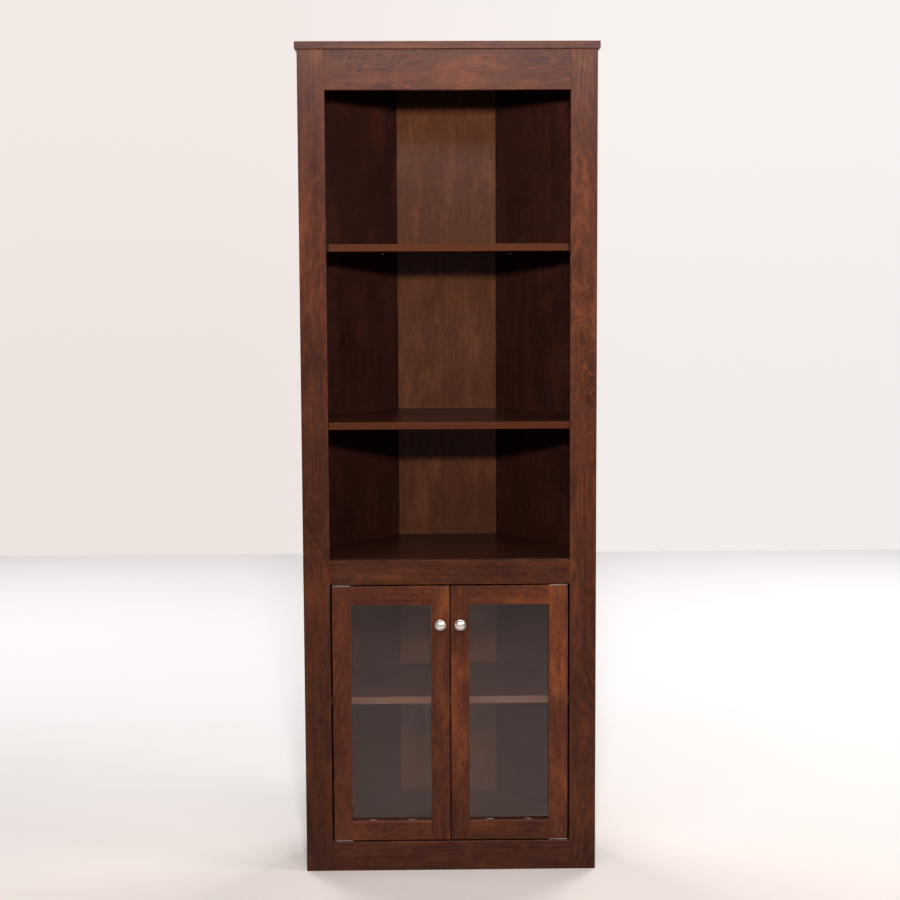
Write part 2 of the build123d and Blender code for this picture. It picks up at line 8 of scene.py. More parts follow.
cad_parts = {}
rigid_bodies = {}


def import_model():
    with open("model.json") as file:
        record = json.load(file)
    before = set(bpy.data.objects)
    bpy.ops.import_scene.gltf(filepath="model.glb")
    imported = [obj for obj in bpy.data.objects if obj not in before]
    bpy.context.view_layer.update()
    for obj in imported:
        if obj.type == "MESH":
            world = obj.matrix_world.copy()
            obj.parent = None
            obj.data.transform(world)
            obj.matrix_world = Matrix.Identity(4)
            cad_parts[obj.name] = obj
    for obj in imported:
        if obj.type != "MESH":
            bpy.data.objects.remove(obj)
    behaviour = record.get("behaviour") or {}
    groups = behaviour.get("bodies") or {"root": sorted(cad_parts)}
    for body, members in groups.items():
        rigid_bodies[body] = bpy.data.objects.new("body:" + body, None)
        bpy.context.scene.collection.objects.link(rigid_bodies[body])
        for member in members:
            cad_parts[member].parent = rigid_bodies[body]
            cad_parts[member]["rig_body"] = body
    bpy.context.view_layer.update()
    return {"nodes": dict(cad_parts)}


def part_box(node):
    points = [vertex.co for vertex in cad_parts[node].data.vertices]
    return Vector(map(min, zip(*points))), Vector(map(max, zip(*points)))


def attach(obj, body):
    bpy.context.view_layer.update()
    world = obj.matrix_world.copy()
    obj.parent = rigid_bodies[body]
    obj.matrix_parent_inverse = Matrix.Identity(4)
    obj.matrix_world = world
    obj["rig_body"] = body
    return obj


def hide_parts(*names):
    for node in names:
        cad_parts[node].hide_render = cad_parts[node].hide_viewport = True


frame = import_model()
nodes = frame["nodes"]
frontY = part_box("right_stile")[0].y  # front plane of the face frame
print("stage: frame loaded,", len(nodes), "nodes")


def addNode(tree, kind, feeds=None, **settings):
    node = tree.nodes.new(kind)
    for name, value in settings.items():
        setattr(node, name, value)
    for key, value in (feeds or {}).items():
        feed(tree, node.inputs[key], value)
    return node


def feed(tree, socket, value):
    if isinstance(value, bpy.types.NodeSocket):
        tree.links.new(value, socket)
    else:
        socket.default_value = value


def sums(tree, operation, a, b=0.0, clamp=False):
    return addNode(tree, "ShaderNodeMath", {0: a, 1: b}, operation=operation, use_clamp=clamp).outputs[0]


def vectorSum(tree, operation, a, b=(0, 0, 0)):
    return addNode(tree, "ShaderNodeVectorMath", {0: a, 1: b}, operation=operation).outputs[0]


def ramp(tree, value, low, high, bottom=0.0, top=1.0):
    feeds = {"Value": value, "From Min": low, "From Max": high, "To Min": bottom, "To Max": top}
    return addNode(tree, "ShaderNodeMapRange", feeds, interpolation_type="SMOOTHSTEP").outputs[0]


def blend(tree, factor, a, b, mode="MIX"):
    feeds = {0: factor, 6: a, 7: b}
    return addNode(tree, "ShaderNodeMix", feeds, data_type="RGBA", blend_type=mode).outputs[2]


def noise(tree, vector, seed, scale=1.0, detail=2.0, roughness=0.5, distortion=0.0):
    feeds = {"Vector": vector, "W": seed, "Scale": scale, "Detail": detail, "Roughness": roughness,
             "Distortion": distortion}
    return addNode(tree, "ShaderNodeTexNoise", feeds, noise_dimensions="4D").outputs["Fac"]


def objectPlace(tree):
    return addNode(tree, "ShaderNodeTexCoord").outputs["Object"]


def setBump(tree, shader, strength, distance, height):
    bump = addNode(tree, "ShaderNodeBump", {"Strength": strength, "Distance": distance, "Height": height})
    feed(tree, shader.inputs["Normal"], bump.outputs[0])


def opaque(color, lift=1.0):
    return tuple(lift * share for share in color) + (1,)


def stretched(tree, vector, across, along):
    return vectorSum(tree, "MULTIPLY", vector, (across, across, along))


def split(tree, vector):
    return addNode(tree, "ShaderNodeSeparateXYZ", {0: vector}).outputs


def newGroup(name, inputs, outputs):
    tree = bpy.data.node_groups.new(name, "ShaderNodeTree")
    for label, kind, value in inputs:
        socket = tree.interface.new_socket(label, in_out="INPUT", socket_type="NodeSocket" + kind)
        if value is not None:
            socket.default_value = value
    for label, kind in outputs:
        tree.interface.new_socket(label, in_out="OUTPUT", socket_type="NodeSocket" + kind)
    return tree, addNode(tree, "NodeGroupInput").outputs, addNode(tree, "NodeGroupOutput").inputs


def fillGroup(tree, group, feeds):
    node = addNode(tree, "ShaderNodeGroup", node_tree=group)
    for key, value in feeds.items():
        feed(tree, node.inputs[key], value)
    return node


def newMaterial(name):
    material = bpy.data.materials.new(name)
    material.use_nodes = True
    tree = material.node_tree
    return material, tree, tree.nodes["Principled BSDF"]


cameraView = {
    "ahead": 3.2,       # in front of the face frame
    "aside": -0.0426,
    "height": 1.3382,
    "down": 4.84,       # degrees below level
    "turn": -0.80,
    "roll": -0.26,
    "lens": 58.84,
    "sensor": 36.0,
    "shiftUp": -0.06,
}


def makeCamera(v):
    data = bpy.data.cameras.new("viewCamera")
    data.lens = v["lens"]
    data.sensor_width = v["sensor"]
    data.shift_y = v["shiftUp"]
    camera = bpy.data.objects.new("viewCamera", data)
    bpy.context.scene.collection.objects.link(camera)
    turn = Matrix.Rotation(math.radians(v["turn"]), 4, "Z")
    tilt = Matrix.Rotation(math.radians(90 - v["down"]), 4, "X")
    roll = Matrix.Rotation(math.radians(v["roll"]), 4, "Z")
    place = Matrix.Translation((v["aside"], frontY - v["ahead"], v["height"]))
    camera.matrix_world = place @ turn @ tilt @ roll
    bpy.context.scene.camera = camera


makeCamera(cameraView)
print("stage: camera")


studio = {
    # The floor in front of the case is painted darker and pinker than the floor far behind it: painted shade
    "floorNearShaded": (0.85, 0.765, 0.725),
    "floorFarLit": (0.88, 0.855, 0.85),
    "floorBounce": (0.40, 0.34, 0.31),  # what the floor throws back on to the wood
    "floorRoughness": 0.55,
    "floorAcross": 8.0,
    "floorBehind": 3.73,     # from the face frame to the far end
    "floorAhead": 9.0,
    "floorSpecular": 0.2,
    "farFrom": 0.1,          # the far tone sets in behind the face frame
    "farFull": 2.0,
    "cloudScale": 1.4,
    "cloudSeed": 3.0,
    # The backdrop the camera sees is painted light: darker and pinker on the left, lighter on the right and
    # brighter towards the top
    "leftShadedTone": (0.845, 0.770, 0.740),
    "rightLitTone": (0.895, 0.845, 0.825),
    "toneAcross": (-0.16, 0.16),  # where the left tone turns into the right one
    "upwardLightLift": 1.055,
    "liftHeights": (-0.10, 0.14),
    "fillTone": (1.0, 0.945, 0.915),
    "fillStrength": 0.04,
    "glossStrength": 0.52,
}
lamps = {  # place and aim are aside, ahead of the face frame and height; spread in degrees
    "keyLamp": {
        "place": (0.0, 2.435, 1.81), "aim": (0, 0, 1.75), "size": (0.15, 0.15), "power": 24.5, "spread": 94},
    "sheenLamp": {
        "place": (0.15, 2.4, 2.5), "aim": (0, 0, 1.7), "size": (2.4, 0.4), "power": 68.0, "spread": 180},
    "floorLamp": {
        "place": (0.0, 1.5, 3.2), "aim": (0, 1.5, 0), "size": (3.0, 0.6), "power": 26.0, "spread": 120},
    "rightLamp": {
        "place": (2.8, 0.7, 2.4), "aim": (0, 0.1, 0), "size": (1.0, 1.0), "power": 31.0, "spread": 180},
    "rearLeftLamp": {
        "place": (-2.4, -2.6, 2.9), "aim": (-0.6, -1.6, 0), "size": (1.8, 1.8), "power": 86.0, "spread": 180},
    "rearRightLamp": {
        "place": (2.4, -2.6, 2.9), "aim": (0.6, -1.6, 0), "size": (1.8, 1.8), "power": 98.0, "spread": 180},
}


def makeFloor(s):
    mesh = bpy.data.meshes.new("studioFloor")
    half, near, far = s["floorAcross"], frontY - s["floorAhead"], frontY + s["floorBehind"]
    mesh.from_pydata([(-half, near, 0), (half, near, 0), (half, far, 0), (-half, far, 0)], [], [(0, 1, 2, 3)])
    floor = bpy.data.objects.new("studioFloor", mesh)
    bpy.context.scene.collection.objects.link(floor)
    material, tree, shader = newMaterial("paleFloor")
    place = objectPlace(tree)
    cloud = noise(tree, place, s["cloudSeed"], scale=s["cloudScale"], detail=3)
    # painted shade: the floor in front of the case darker and pinker, lighter far behind
    depth = sums(tree, "ADD", split(tree, place)[1], cloud)
    toneShare = ramp(tree, depth, frontY + s["farFrom"], frontY + s["farFull"])
    tone = blend(tree, toneShare, opaque(s["floorNearShaded"]), opaque(s["floorFarLit"]))
    bounced = addNode(tree, "ShaderNodeLightPath").outputs["Is Diffuse Ray"]
    feed(tree, shader.inputs["Base Color"], blend(tree, bounced, tone, opaque(s["floorBounce"])))
    shader.inputs["Roughness"].default_value = s["floorRoughness"]
    shader.inputs["Specular IOR Level"].default_value = s["floorSpecular"]
    mesh.materials.append(material)


def makeBackdropTone(s):
    world = bpy.data.worlds.new("studioWorld")
    bpy.context.scene.world = world
    world.use_nodes = True
    tree = world.node_tree
    tree.nodes.clear()
    way = split(tree, addNode(tree, "ShaderNodeTexCoord").outputs["Generated"])
    # painted light on the backdrop: shaded left, lit right, lifted towards the top
    tone = blend(tree, ramp(tree, way[0], *s["toneAcross"]), opaque(s["leftShadedTone"]), opaque(s["rightLitTone"]))
    lift = ramp(tree, way[2], *s["liftHeights"], 1.0, s["upwardLightLift"])
    seen = addNode(tree, "ShaderNodeBackground", {"Color": tone, "Strength": lift})
    path = addNode(tree, "ShaderNodeLightPath").outputs
    strengths = {"Value": path["Is Glossy Ray"], "To Min": s["fillStrength"], "To Max": s["glossStrength"]}
    strength = addNode(tree, "ShaderNodeMapRange", strengths).outputs[0]
    lit = addNode(tree, "ShaderNodeBackground", {"Color": opaque(s["fillTone"]), "Strength": strength})
    shaders = {0: path["Is Camera Ray"], 1: lit.outputs[0], 2: seen.outputs[0]}
    mix = addNode(tree, "ShaderNodeMixShader", shaders)
    addNode(tree, "ShaderNodeOutputWorld", {"Surface": mix.outputs[0]})


def hangLamp(name, lamp):
    data = bpy.data.lights.new(name, "AREA")
    data.shape = "RECTANGLE"
    data.size, data.size_y = lamp["size"]
    data.energy = lamp["power"]
    data.spread = math.radians(lamp["spread"])
    light = bpy.data.objects.new(name, data)
    bpy.context.scene.collection.objects.link(light)
    place, aim = (Vector((x, frontY - ahead, z)) for x, ahead, z in (lamp["place"], lamp["aim"]))
    light.location = place
    light.visible_transmission = False  # light passes the panes by the glass's own shadow rule
    light.rotation_euler = (aim - place).to_track_quat("-Z", "Y").to_euler()
    return light


makeFloor(studio)
makeBackdropTone(studio)
hung = {name: hangLamp(name, lamp) for name, lamp in lamps.items()}
hung["keyLamp"].visible_glossy = False  # one lamp lights the wood and the other gives its sheen
hung["sheenLamp"].visible_diffuse = False
bpy.context.scene.view_settings.view_transform = "Standard"
print("stage: studio")


cherry = {
    "layers": {  # across, along, shift of the seed, detail and roughness of each noise
        "swirl": (34.0, 22.0, 4.0, 2, 0.5),
        "field": (12.0, 2.4, 31.0, 1, 0.35),
        "streak": (110.0, 4.0, 0.0, 4, 0.65),
        "fibre": (640.0, 22.0, 2.0, 2, 0.5),
        "pores": (1000.0, 60.0, 9.0, 1, 0.5),
        "flecks": (260.0, 60.0, 17.0, 2, 0.5),
        "cloud": (13.0, 5.0, 13.0, 4, 0.6),
        "warm": (26.0, 6.5, 21.0, 3, 0.6),
        "part": (9.0, 5.0, 41.0, 1, 0.5),
        "mottle": (85.0, 34.0, 53.0, 4, 0.7),
    },
    "knotWidth": 0.5,                     # of its length
    "knotUneven": (0.2, 0.8, 0.55, 1.45),
    "knotFall": -0.8,
    "knotPeak": 0.35,
    "knotCore": (0.40, 0.10),             # in knot sizes
    "knotReach": (2.6, 0.6),
    "ringCount": 115.0,
    "ringWave": 7.0,
    "ringBright": (0.60, 1.0),
    "ringShade": (-0.2, -1.0),
    "brightAmount": 0.26,
    "shadeAmount": 0.30,
    "quietPart": (0.42, 0.62, 0.25, 1.0),
    "streakShare": 0.62,
    "toneReach": 0.16,
    "warmPatch": (0.42, 0.72),
    "warmGap": (0.62, 0.40),
    "blotchPatch": (0.47, 0.70),
    "mottleDark": (0.52, 0.66),
    "mottleDarkAmount": 0.42,
    "mottleGlow": (0.46, 0.34),
    "mottleGlowAmount": 0.26,
    "deepTint": (0.40, 0.34, 0.34),
    "pore": (0.64, 0.74),
    "poreAmount": 0.40,
    "fleck": (0.60, 0.74),
    "fleckAmount": 0.42,
    "coreAmount": 0.45,
    "fibreRough": 0.10,
    "cloudRough": 0.08,
    "fibreHeight": 0.35,
}


def makeCherryPrint(c):
    inputs = [("Vector", "Vector", None), ("Seed", "Float", 0.0),
              ("Dark", "Color", None), ("Body", "Color", None), ("Glow", "Color", None),
              ("Contrast", "Float", 0.5), ("Blotch", "Float", 0.6), ("Glow Amount", "Float", 0.5),
              ("Figure", "Float", 0.5), ("Knot A", "Vector", None), ("Knot B", "Vector", None),
              ("Knot Size", "Float", 0.02)]
    outputs = [("Color", "Color"), ("Rough", "Float"), ("Height", "Float")]
    tree, source, result = newGroup("cherryPrint", inputs, outputs)
    place, seed = source["Vector"], source["Seed"]
    dark, glow = source["Dark"], source["Glow"]

    def layer(name):
        across, along, shift, detail, roughness = c["layers"][name]
        ownSeed = sums(tree, "ADD", seed, shift)
        return noise(tree, stretched(tree, place, across, along), ownSeed, detail=detail, roughness=roughness)

    def part(mask, amount):
        return sums(tree, "MULTIPLY", mask, amount, clamp=True)

    def scaled(value, factor):
        return sums(tree, "MULTIPLY", value, factor)

    # rings of growth are the level lines of a slow field, and each knot is a peak in it
    swirl, field = layer("swirl"), layer("field")
    uneven = ramp(tree, swirl, *c["knotUneven"])
    cores, near = 0.0, 0.0
    for label in ("Knot A", "Knot B"):
        away = split(tree, vectorSum(tree, "SUBTRACT", place, source[label]))
        flat = {0: away[0], 2: scaled(away[2], c["knotWidth"])}
        flat = addNode(tree, "ShaderNodeCombineXYZ", flat).outputs[0]
        length = addNode(tree, "ShaderNodeVectorMath", {0: flat}, operation="LENGTH").outputs["Value"]
        radius = sums(tree, "DIVIDE", scaled(length, uneven), source["Knot Size"])
        peak = sums(tree, "POWER", math.e, scaled(radius, c["knotFall"]))
        field = sums(tree, "ADD", field, scaled(peak, c["knotPeak"]))
        cores = sums(tree, "ADD", cores, ramp(tree, radius, *c["knotCore"]))
        near = sums(tree, "MAXIMUM", near, ramp(tree, radius, *c["knotReach"]))
    waves = sums(tree, "ADD", scaled(field, c["ringCount"]), scaled(swirl, c["ringWave"]))
    rings = sums(tree, "SINE", waves)
    bright, shade = ramp(tree, rings, *c["ringBright"]), ramp(tree, rings, *c["ringShade"])
    fibre, cloud, mottle = layer("fibre"), layer("cloud"), layer("mottle")
    pores = ramp(tree, layer("pores"), *c["pore"])
    flecks = ramp(tree, layer("flecks"), *c["fleck"])

    # body colour from streaks and fibres, then warm glows, dark blotches and fine mottling
    tone = sums(tree, "ADD", scaled(layer("streak"), c["streakShare"]), scaled(fibre, 1.0 - c["streakShare"]))
    reach = sums(tree, "DIVIDE", c["toneReach"], source["Contrast"])
    spread = ramp(tree, tone, sums(tree, "SUBTRACT", 0.5, reach), sums(tree, "ADD", 0.5, reach))
    color = blend(tree, spread, dark, source["Body"])
    warmth = scaled(ramp(tree, layer("warm"), *c["warmPatch"]), ramp(tree, cloud, *c["warmGap"]))
    color = blend(tree, part(warmth, source["Glow Amount"]), color, glow)
    color = blend(tree, part(ramp(tree, cloud, *c["blotchPatch"]), source["Blotch"]), color, dark)
    color = blend(tree, scaled(ramp(tree, mottle, *c["mottleDark"]), c["mottleDarkAmount"]), color, dark)
    color = blend(tree, scaled(ramp(tree, mottle, *c["mottleGlow"]), c["mottleGlowAmount"]), color, glow)

    # rings show most near the knots, and pores, flecks and knot hearts are the darkest marks
    lively = sums(tree, "MAXIMUM", near, ramp(tree, layer("part"), *c["quietPart"]))
    lively = scaled(source["Figure"], lively)
    color = blend(tree, part(scaled(bright, c["brightAmount"]), lively), color, glow)
    color = blend(tree, part(scaled(shade, c["shadeAmount"]), lively), color, dark)
    deep = blend(tree, 1.0, dark, opaque(c["deepTint"]), "MULTIPLY")
    color = blend(tree, scaled(pores, c["poreAmount"]), color, deep)
    color = blend(tree, scaled(flecks, c["fleckAmount"]), color, deep)
    color = blend(tree, part(cores, c["coreAmount"]), color, deep)
    feed(tree, result["Color"], color)
    rough = sums(tree, "ADD", scaled(fibre, c["fibreRough"]), scaled(cloud, c["cloudRough"]))
    feed(tree, result["Rough"], rough)
    feed(tree, result["Height"], sums(tree, "SUBTRACT", scaled(fibre, c["fibreHeight"]), pores))
    return tree


# Paler edges along each board's arrises: partly wear, partly a painted highlight where the edges catch the
# light
arris = {"inside": 1.0, "outside": 0.15, "rubAndHighlightScale": 60.0, "rubAndHighlightSeed": 2.0, "rubAndHighlightPatch": (0.30, 0.62)}


def makeArrisMask(a):
    inputs = [("Vector", "Vector", None), ("Half Size", "Vector", None), ("Reach", "Float", 0.002)]
    tree, source, result = newGroup("arrisMask", inputs, [("Mask", "Float")])
    size = vectorSum(tree, "ABSOLUTE", source["Vector"])
    near = split(tree, vectorSum(tree, "SUBTRACT", source["Half Size"], size))
    shares = [sums(tree, "DIVIDE", depth, source["Reach"]) for depth in near]
    close = [ramp(tree, share, a["inside"], a["outside"]) for share in shares]
    pairs = [sums(tree, "MULTIPLY", close[i], close[j]) for i, j in ((0, 1), (1, 2), (0, 2))]
    edge = sums(tree, "MAXIMUM", sums(tree, "MAXIMUM", pairs[0], pairs[1]), pairs[2])
    rubAndHighlight = noise(tree, source["Vector"], a["rubAndHighlightSeed"], scale=a["rubAndHighlightScale"], detail=3)
    feed(tree, result["Mask"], sums(tree, "MULTIPLY", edge, ramp(tree, rubAndHighlight, *a["rubAndHighlightPatch"])))
    return tree


cherryPrint = makeCherryPrint(cherry)
arrisMask = makeArrisMask(arris)
facings = {  # turns each board so that its grain runs along Z and X is across
    "upright": Matrix.Identity(3),
    "across": Matrix.Rotation(math.radians(90), 3, "Y"),
    "side": Matrix.Rotation(math.radians(90), 3, "Z"),
    "slantRight": Matrix.Rotation(math.radians(45), 3, "Z"),
    "slantLeft": Matrix.Rotation(math.radians(-45), 3, "Z"),
    "flat": Matrix(((0, 1, 0), (0, 0, 1), (1, 0, 0))),
}
tones = {
    "frame": {
        "dark": (0.033, 0.0100, 0.0064), "body": (0.098, 0.0282, 0.0140), "glow": (0.180, 0.0510, 0.0170),
        "contrast": 0.58, "blotch": 0.68, "glowAmount": 0.46, "figure": 0.55},
    "door": {
        "dark": (0.046, 0.0130, 0.0080), "body": (0.138, 0.0385, 0.0180), "glow": (0.250, 0.0700, 0.0220),
        "contrast": 0.55, "blotch": 0.60, "glowAmount": 0.80, "figure": 0.55},
    # inner: a darker copy of the wood for the slanted boards, shelves and pieces inside the bays, painted
    # shade of the dim interior
    "inner": {
        "dark": (0.013, 0.0043, 0.0034), "body": (0.034, 0.0098, 0.0060), "glow": (0.056, 0.0150, 0.0082),
        "contrast": 0.40, "blotch": 0.65, "glowAmount": 0.45, "figure": 0.30},
    "back": {
        "dark": (0.046, 0.0148, 0.0066), "body": (0.094, 0.0310, 0.0138), "glow": (0.155, 0.0540, 0.0240),
        "contrast": 0.40, "blotch": 0.55, "glowAmount": 0.40, "figure": 0.20},
}
band = {
    "color": (0.064, 0.0172, 0.0064),
    "hazedBehindGlass": (0.110, 0.054, 0.036),    # paler, painted haze and light on the shelf that stands behind glass
    "depth": 0.0013,
    "low": 0.82,
    "high": 1.15,
    "across": 300.0,
    "along": 4.0,
    "patch": (0.2, 0.8),
}
board = {
    "roughness": 0.21,
    "specular": 0.12,
    "bump": 0.12,
    "bumpHeight": 0.00012,
    # the pale edge tone below is partly wear and partly painted highlight
    "rubAndHighlightTone": (0.20, 0.075, 0.040),
    "rubAndHighlightAmount": 0.30,
    "rubAndHighlightReach": 0.0016,
}
woodPlan = {  # node: (facing, tone, seed, knots as shares of half the width and height, knot size)
    "top_board": ("flat", "frame", 1.3, [(0.6, 0.5), (-0.7, -0.4)], 0.018),
    "right_stile": ("upright", "frame", 35.9, [(-0.1, 0.31), (0.35, 0.17)], 0.018),
    "left_stile": ("upright", "frame", 14.6, [(0.1, -0.62), (-0.3, -0.15)], 0.016),
    "frieze_rail": ("across", "frame", 7.9, [(0.55, -0.30), (0.7, 0.55)], 0.016),
    "mid_rail": ("across", "frame", 11.2, [(0.2, 0.10), (-0.2, -0.62)], 0.013),
    "base_rail": ("across", "frame", 13.4, [(-0.2, 0.42), (0.3, -0.55)], 0.013),
    "right_side_board": ("side", "frame", 15.8, [(0.2, 0.35), (-0.4, -0.5)], 0.022),
    "left_side_board": ("side", "frame", 17.1, [(-0.3, 0.15), (0.3, -0.6)], 0.022),
    "right_slanted_board": ("slantRight", "inner", 19.6, [(0.2, 0.44), (-0.3, -0.35)], 0.024),
    "left_slanted_board": ("slantLeft", "inner", 23.3, [(-0.3, 0.30), (0.3, -0.15)], 0.024),
    "back_board": ("upright", "back", 27.5, [(0.7, 0.62), (-0.6, -0.8)], 0.015),
    "upper_shelf": ("flat", "inner", 29.9, [(0.3, 0.4), (-0.3, -0.5)], 0.020),
    "middle_shelf": ("flat", "inner", 31.4, [(0.1, -0.4), (-0.4, 0.6)], 0.020),
    "fixed_shelf": ("flat", "inner", 37.7, [(-0.2, 0.5), (0.5, -0.2)], 0.020),
    "cupboard_shelf": ("flat", "inner", 41.0, [(0.3, 0.2), (-0.1, -0.5)], 0.020),
    "cupboard_floor": ("flat", "inner", 43.6, [(-0.4, 0.3), (0.3, -0.4)], 0.020),
    "wall_cleat": ("across", "inner", 47.2, [(0.4, 0.6), (-0.4, -0.7)], 0.010),
    "door_stop": ("across", "inner", 49.3, [(0.4, 0.4), (-0.4, -0.6)], 0.010),
    "mitre_splines": ("upright", "back", 51.3, [(5.0, 0.4), (-5.0, -0.6)], 0.010),
    "right_door_hinge_stile": ("upright", "door", 53.8, [(0.1, -0.72), (0.1, 0.35)], 0.011),
    "right_door_meeting_stile": ("upright", "door", 57.4, [(-0.1, 0.90), (0.2, -0.40)], 0.011),
    "right_door_top_rail": ("across", "door", 61.2, [(0.3, 0.75), (-0.2, -0.45)], 0.009),
    "right_door_bottom_rail": ("across", "door", 63.9, [(0.1, 0.15), (-0.3, -0.75)], 0.010),
    "left_door_hinge_stile": ("upright", "door", 67.5, [(0.2, -0.30), (-0.2, 0.62)], 0.011),
    "left_door_meeting_stile": ("upright", "door", 71.1, [(0.15, -0.02), (-0.2, 0.10)], 0.013),
    "left_door_top_rail": ("across", "door", 73.7, [(0.1, -0.55), (-0.2, 0.45)], 0.010),
    "left_door_bottom_rail": ("across", "door", 79.0, [(0.2, 0.20), (-0.1, -0.70)], 0.010),
}
# Painted light in part: brightness per board that evens out how the light falls, lighter on the right stile,
# the door hinge stiles and the low rails, darker on the left door's top rail; partly the boards' own tone
boardLightLift = {
    "right_stile": 1.12, "base_rail": 1.20, "right_door_hinge_stile": 1.25, "left_door_hinge_stile": 1.15,
    "left_door_top_rail": 0.88, "left_door_bottom_rail": 1.22}
boardFigure = {"right_stile": 1.05, "frieze_rail": 0.75}  # boards with livelier rings than the rest
bandedShelves = ("upper_shelf", "middle_shelf", "cupboard_shelf")


def edgeBand(tree, node, local, seed, b):
    # the shelf behind glass gets a paler edge, painted haze and light seen through the pane
    tone = b["hazedBehindGlass" if node == "cupboard_shelf" else "color"]
    plain = noise(tree, stretched(tree, local, b["across"], b["along"]), seed, detail=2)
    return blend(tree, ramp(tree, plain, *b["patch"]), opaque(tone, b["low"]), opaque(tone, b["high"]))


def cherryBoard(node, facing, toneName, seed, knots, knotSize):
    turn = facings[facing]
    tone = tones[toneName]
    # the board's painted-light brightness, partly its own tone
    lift = boardLightLift.get(node, 1.0)
    low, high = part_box(node)
    middle = (low + high) / 2
    half = (high - low) / 2
    halfLocal = Vector([abs(share) for share in turn @ half])
    slanted = facing.startswith("slant")
    width = half.x * math.sqrt(2) if slanted else halfLocal.x
    material, tree, shader = newMaterial("cherry_" + node)
    place = objectPlace(tree)
    centred = {"Vector": place, "Location": -(turn @ middle), "Rotation": turn.to_euler("XYZ")}
    local = addNode(tree, "ShaderNodeMapping", centred).outputs[0]

    # a knot goes right through its board, so its place has a side and a height but no depth
    spots = [(share * width, 0, height * halfLocal.z) for share, height in knots]
    grain = fillGroup(tree, cherryPrint, {
        "Vector": local, "Seed": seed,
        "Dark": opaque(tone["dark"], lift), "Body": opaque(tone["body"], lift),
        "Glow": opaque(tone["glow"], lift),
        "Contrast": tone["contrast"], "Blotch": tone["blotch"], "Glow Amount": tone["glowAmount"],
        "Figure": boardFigure.get(node, tone["figure"]),
        "Knot A": spots[0], "Knot B": spots[1], "Knot Size": knotSize}).outputs
    color = grain["Color"]
    # painted highlight and wear along the board's edges
    if not slanted:
        edges = {"Vector": local, "Half Size": halfLocal, "Reach": board["rubAndHighlightReach"]}
        rubbedAndLit = fillGroup(tree, arrisMask, edges).outputs["Mask"]
        rubbedAndLit = sums(tree, "MULTIPLY", rubbedAndLit, board["rubAndHighlightAmount"])
        color = blend(tree, rubbedAndLit, color, opaque(board["rubAndHighlightTone"]))
    if node in bandedShelves:
        onBand = sums(tree, "LESS_THAN", split(tree, place)[1], low.y + band["depth"])
        color = blend(tree, onBand, color, edgeBand(tree, node, local, seed, band))
    feed(tree, shader.inputs["Base Color"], color)
    feed(tree, shader.inputs["Roughness"], sums(tree, "ADD", grain["Rough"], board["roughness"]))
    shader.inputs["Specular IOR Level"].default_value = board["specular"]
    setBump(tree, shader, board["bump"], board["bumpHeight"], grain["Height"])
    return material


def dress(node, material):
    mesh = nodes[node].data
    mesh.materials.clear()
    mesh.materials.append(material)


for node, plan in woodPlan.items():
    dress(node, cherryBoard(node, *plan))
print("stage: boards dressed,", len(woodPlan))


handled = {
    "smearSeed": 1.0,
    "smearPatch": (0.35, 0.75),
    "scratchSeed": 2.0,
    "scratchAcross": 2200.0,
    "scratchAlong": 160.0,
    "scratchPatch": (0.60, 0.75),
}


def makeHandledFilm(h):
    inputs = [("Vector", "Vector", None), ("Scale", "Float", 60.0)]
    tree, source, result = newGroup("handledFilm", inputs, [("Film", "Float"), ("Scratch", "Float")])
    place = source["Vector"]
    smear = noise(tree, place, h["smearSeed"], scale=source["Scale"], detail=4, roughness=0.6, distortion=0.8)
    feed(tree, result["Film"], ramp(tree, smear, *h["smearPatch"]))
    drawn = stretched(tree, place, h["scratchAcross"], h["scratchAlong"])
    fine = noise(tree, drawn, h["scratchSeed"], detail=2)
    feed(tree, result["Scratch"], ramp(tree, fine, *h["scratchPatch"]))
    return tree


handledFilm = makeHandledFilm(handled)
metals = {
    "polishedNickel": {
        "color": (0.98, 0.93, 0.88), "shade": (0.80, 0.75, 0.70),
        "rough": 0.10, "spread": 0.14, "scale": 210.0},
    "nickelPlate": {
        "color": (0.40, 0.36, 0.33), "shade": (0.27, 0.24, 0.21),
        "rough": 0.34, "spread": 0.16, "scale": 120.0},
    "zincSteel": {
        "color": (0.66, 0.67, 0.68), "shade": (0.46, 0.47, 0.46),
        "rough": 0.30, "spread": 0.18, "scale": 160.0},
}
scratches = {"strength": 0.05, "distance": 0.00005}


def metalFinish(name, m):
    material, tree, shader = newMaterial(name)
    place = objectPlace(tree)
    film = fillGroup(tree, handledFilm, {"Vector": place, "Scale": m["scale"]}).outputs
    feed(tree, shader.inputs["Base Color"], blend(tree, film["Film"], opaque(m["color"]), opaque(m["shade"])))
    rough = sums(tree, "ADD", sums(tree, "MULTIPLY", film["Film"], m["spread"]), m["rough"])
    feed(tree, shader.inputs["Roughness"], rough)
    shader.inputs["Metallic"].default_value = 1.0
    setBump(tree, shader, scratches["strength"], scratches["distance"], film["Scratch"])
    return material


plains = {
    "clearNylon": {
        "color": (0.60, 0.58, 0.53), "shade": (0.50, 0.48, 0.43), "rough": 0.42, "scale": 300.0},
    "darkFerrite": {
        "color": (0.030, 0.030, 0.032), "shade": (0.055, 0.053, 0.050), "rough": 0.62, "scale": 700.0},
}
speckle = {"seed": 5.0, "patch": (0.35, 0.7), "rough": 0.15, "strength": 0.15, "distance": 0.00008}


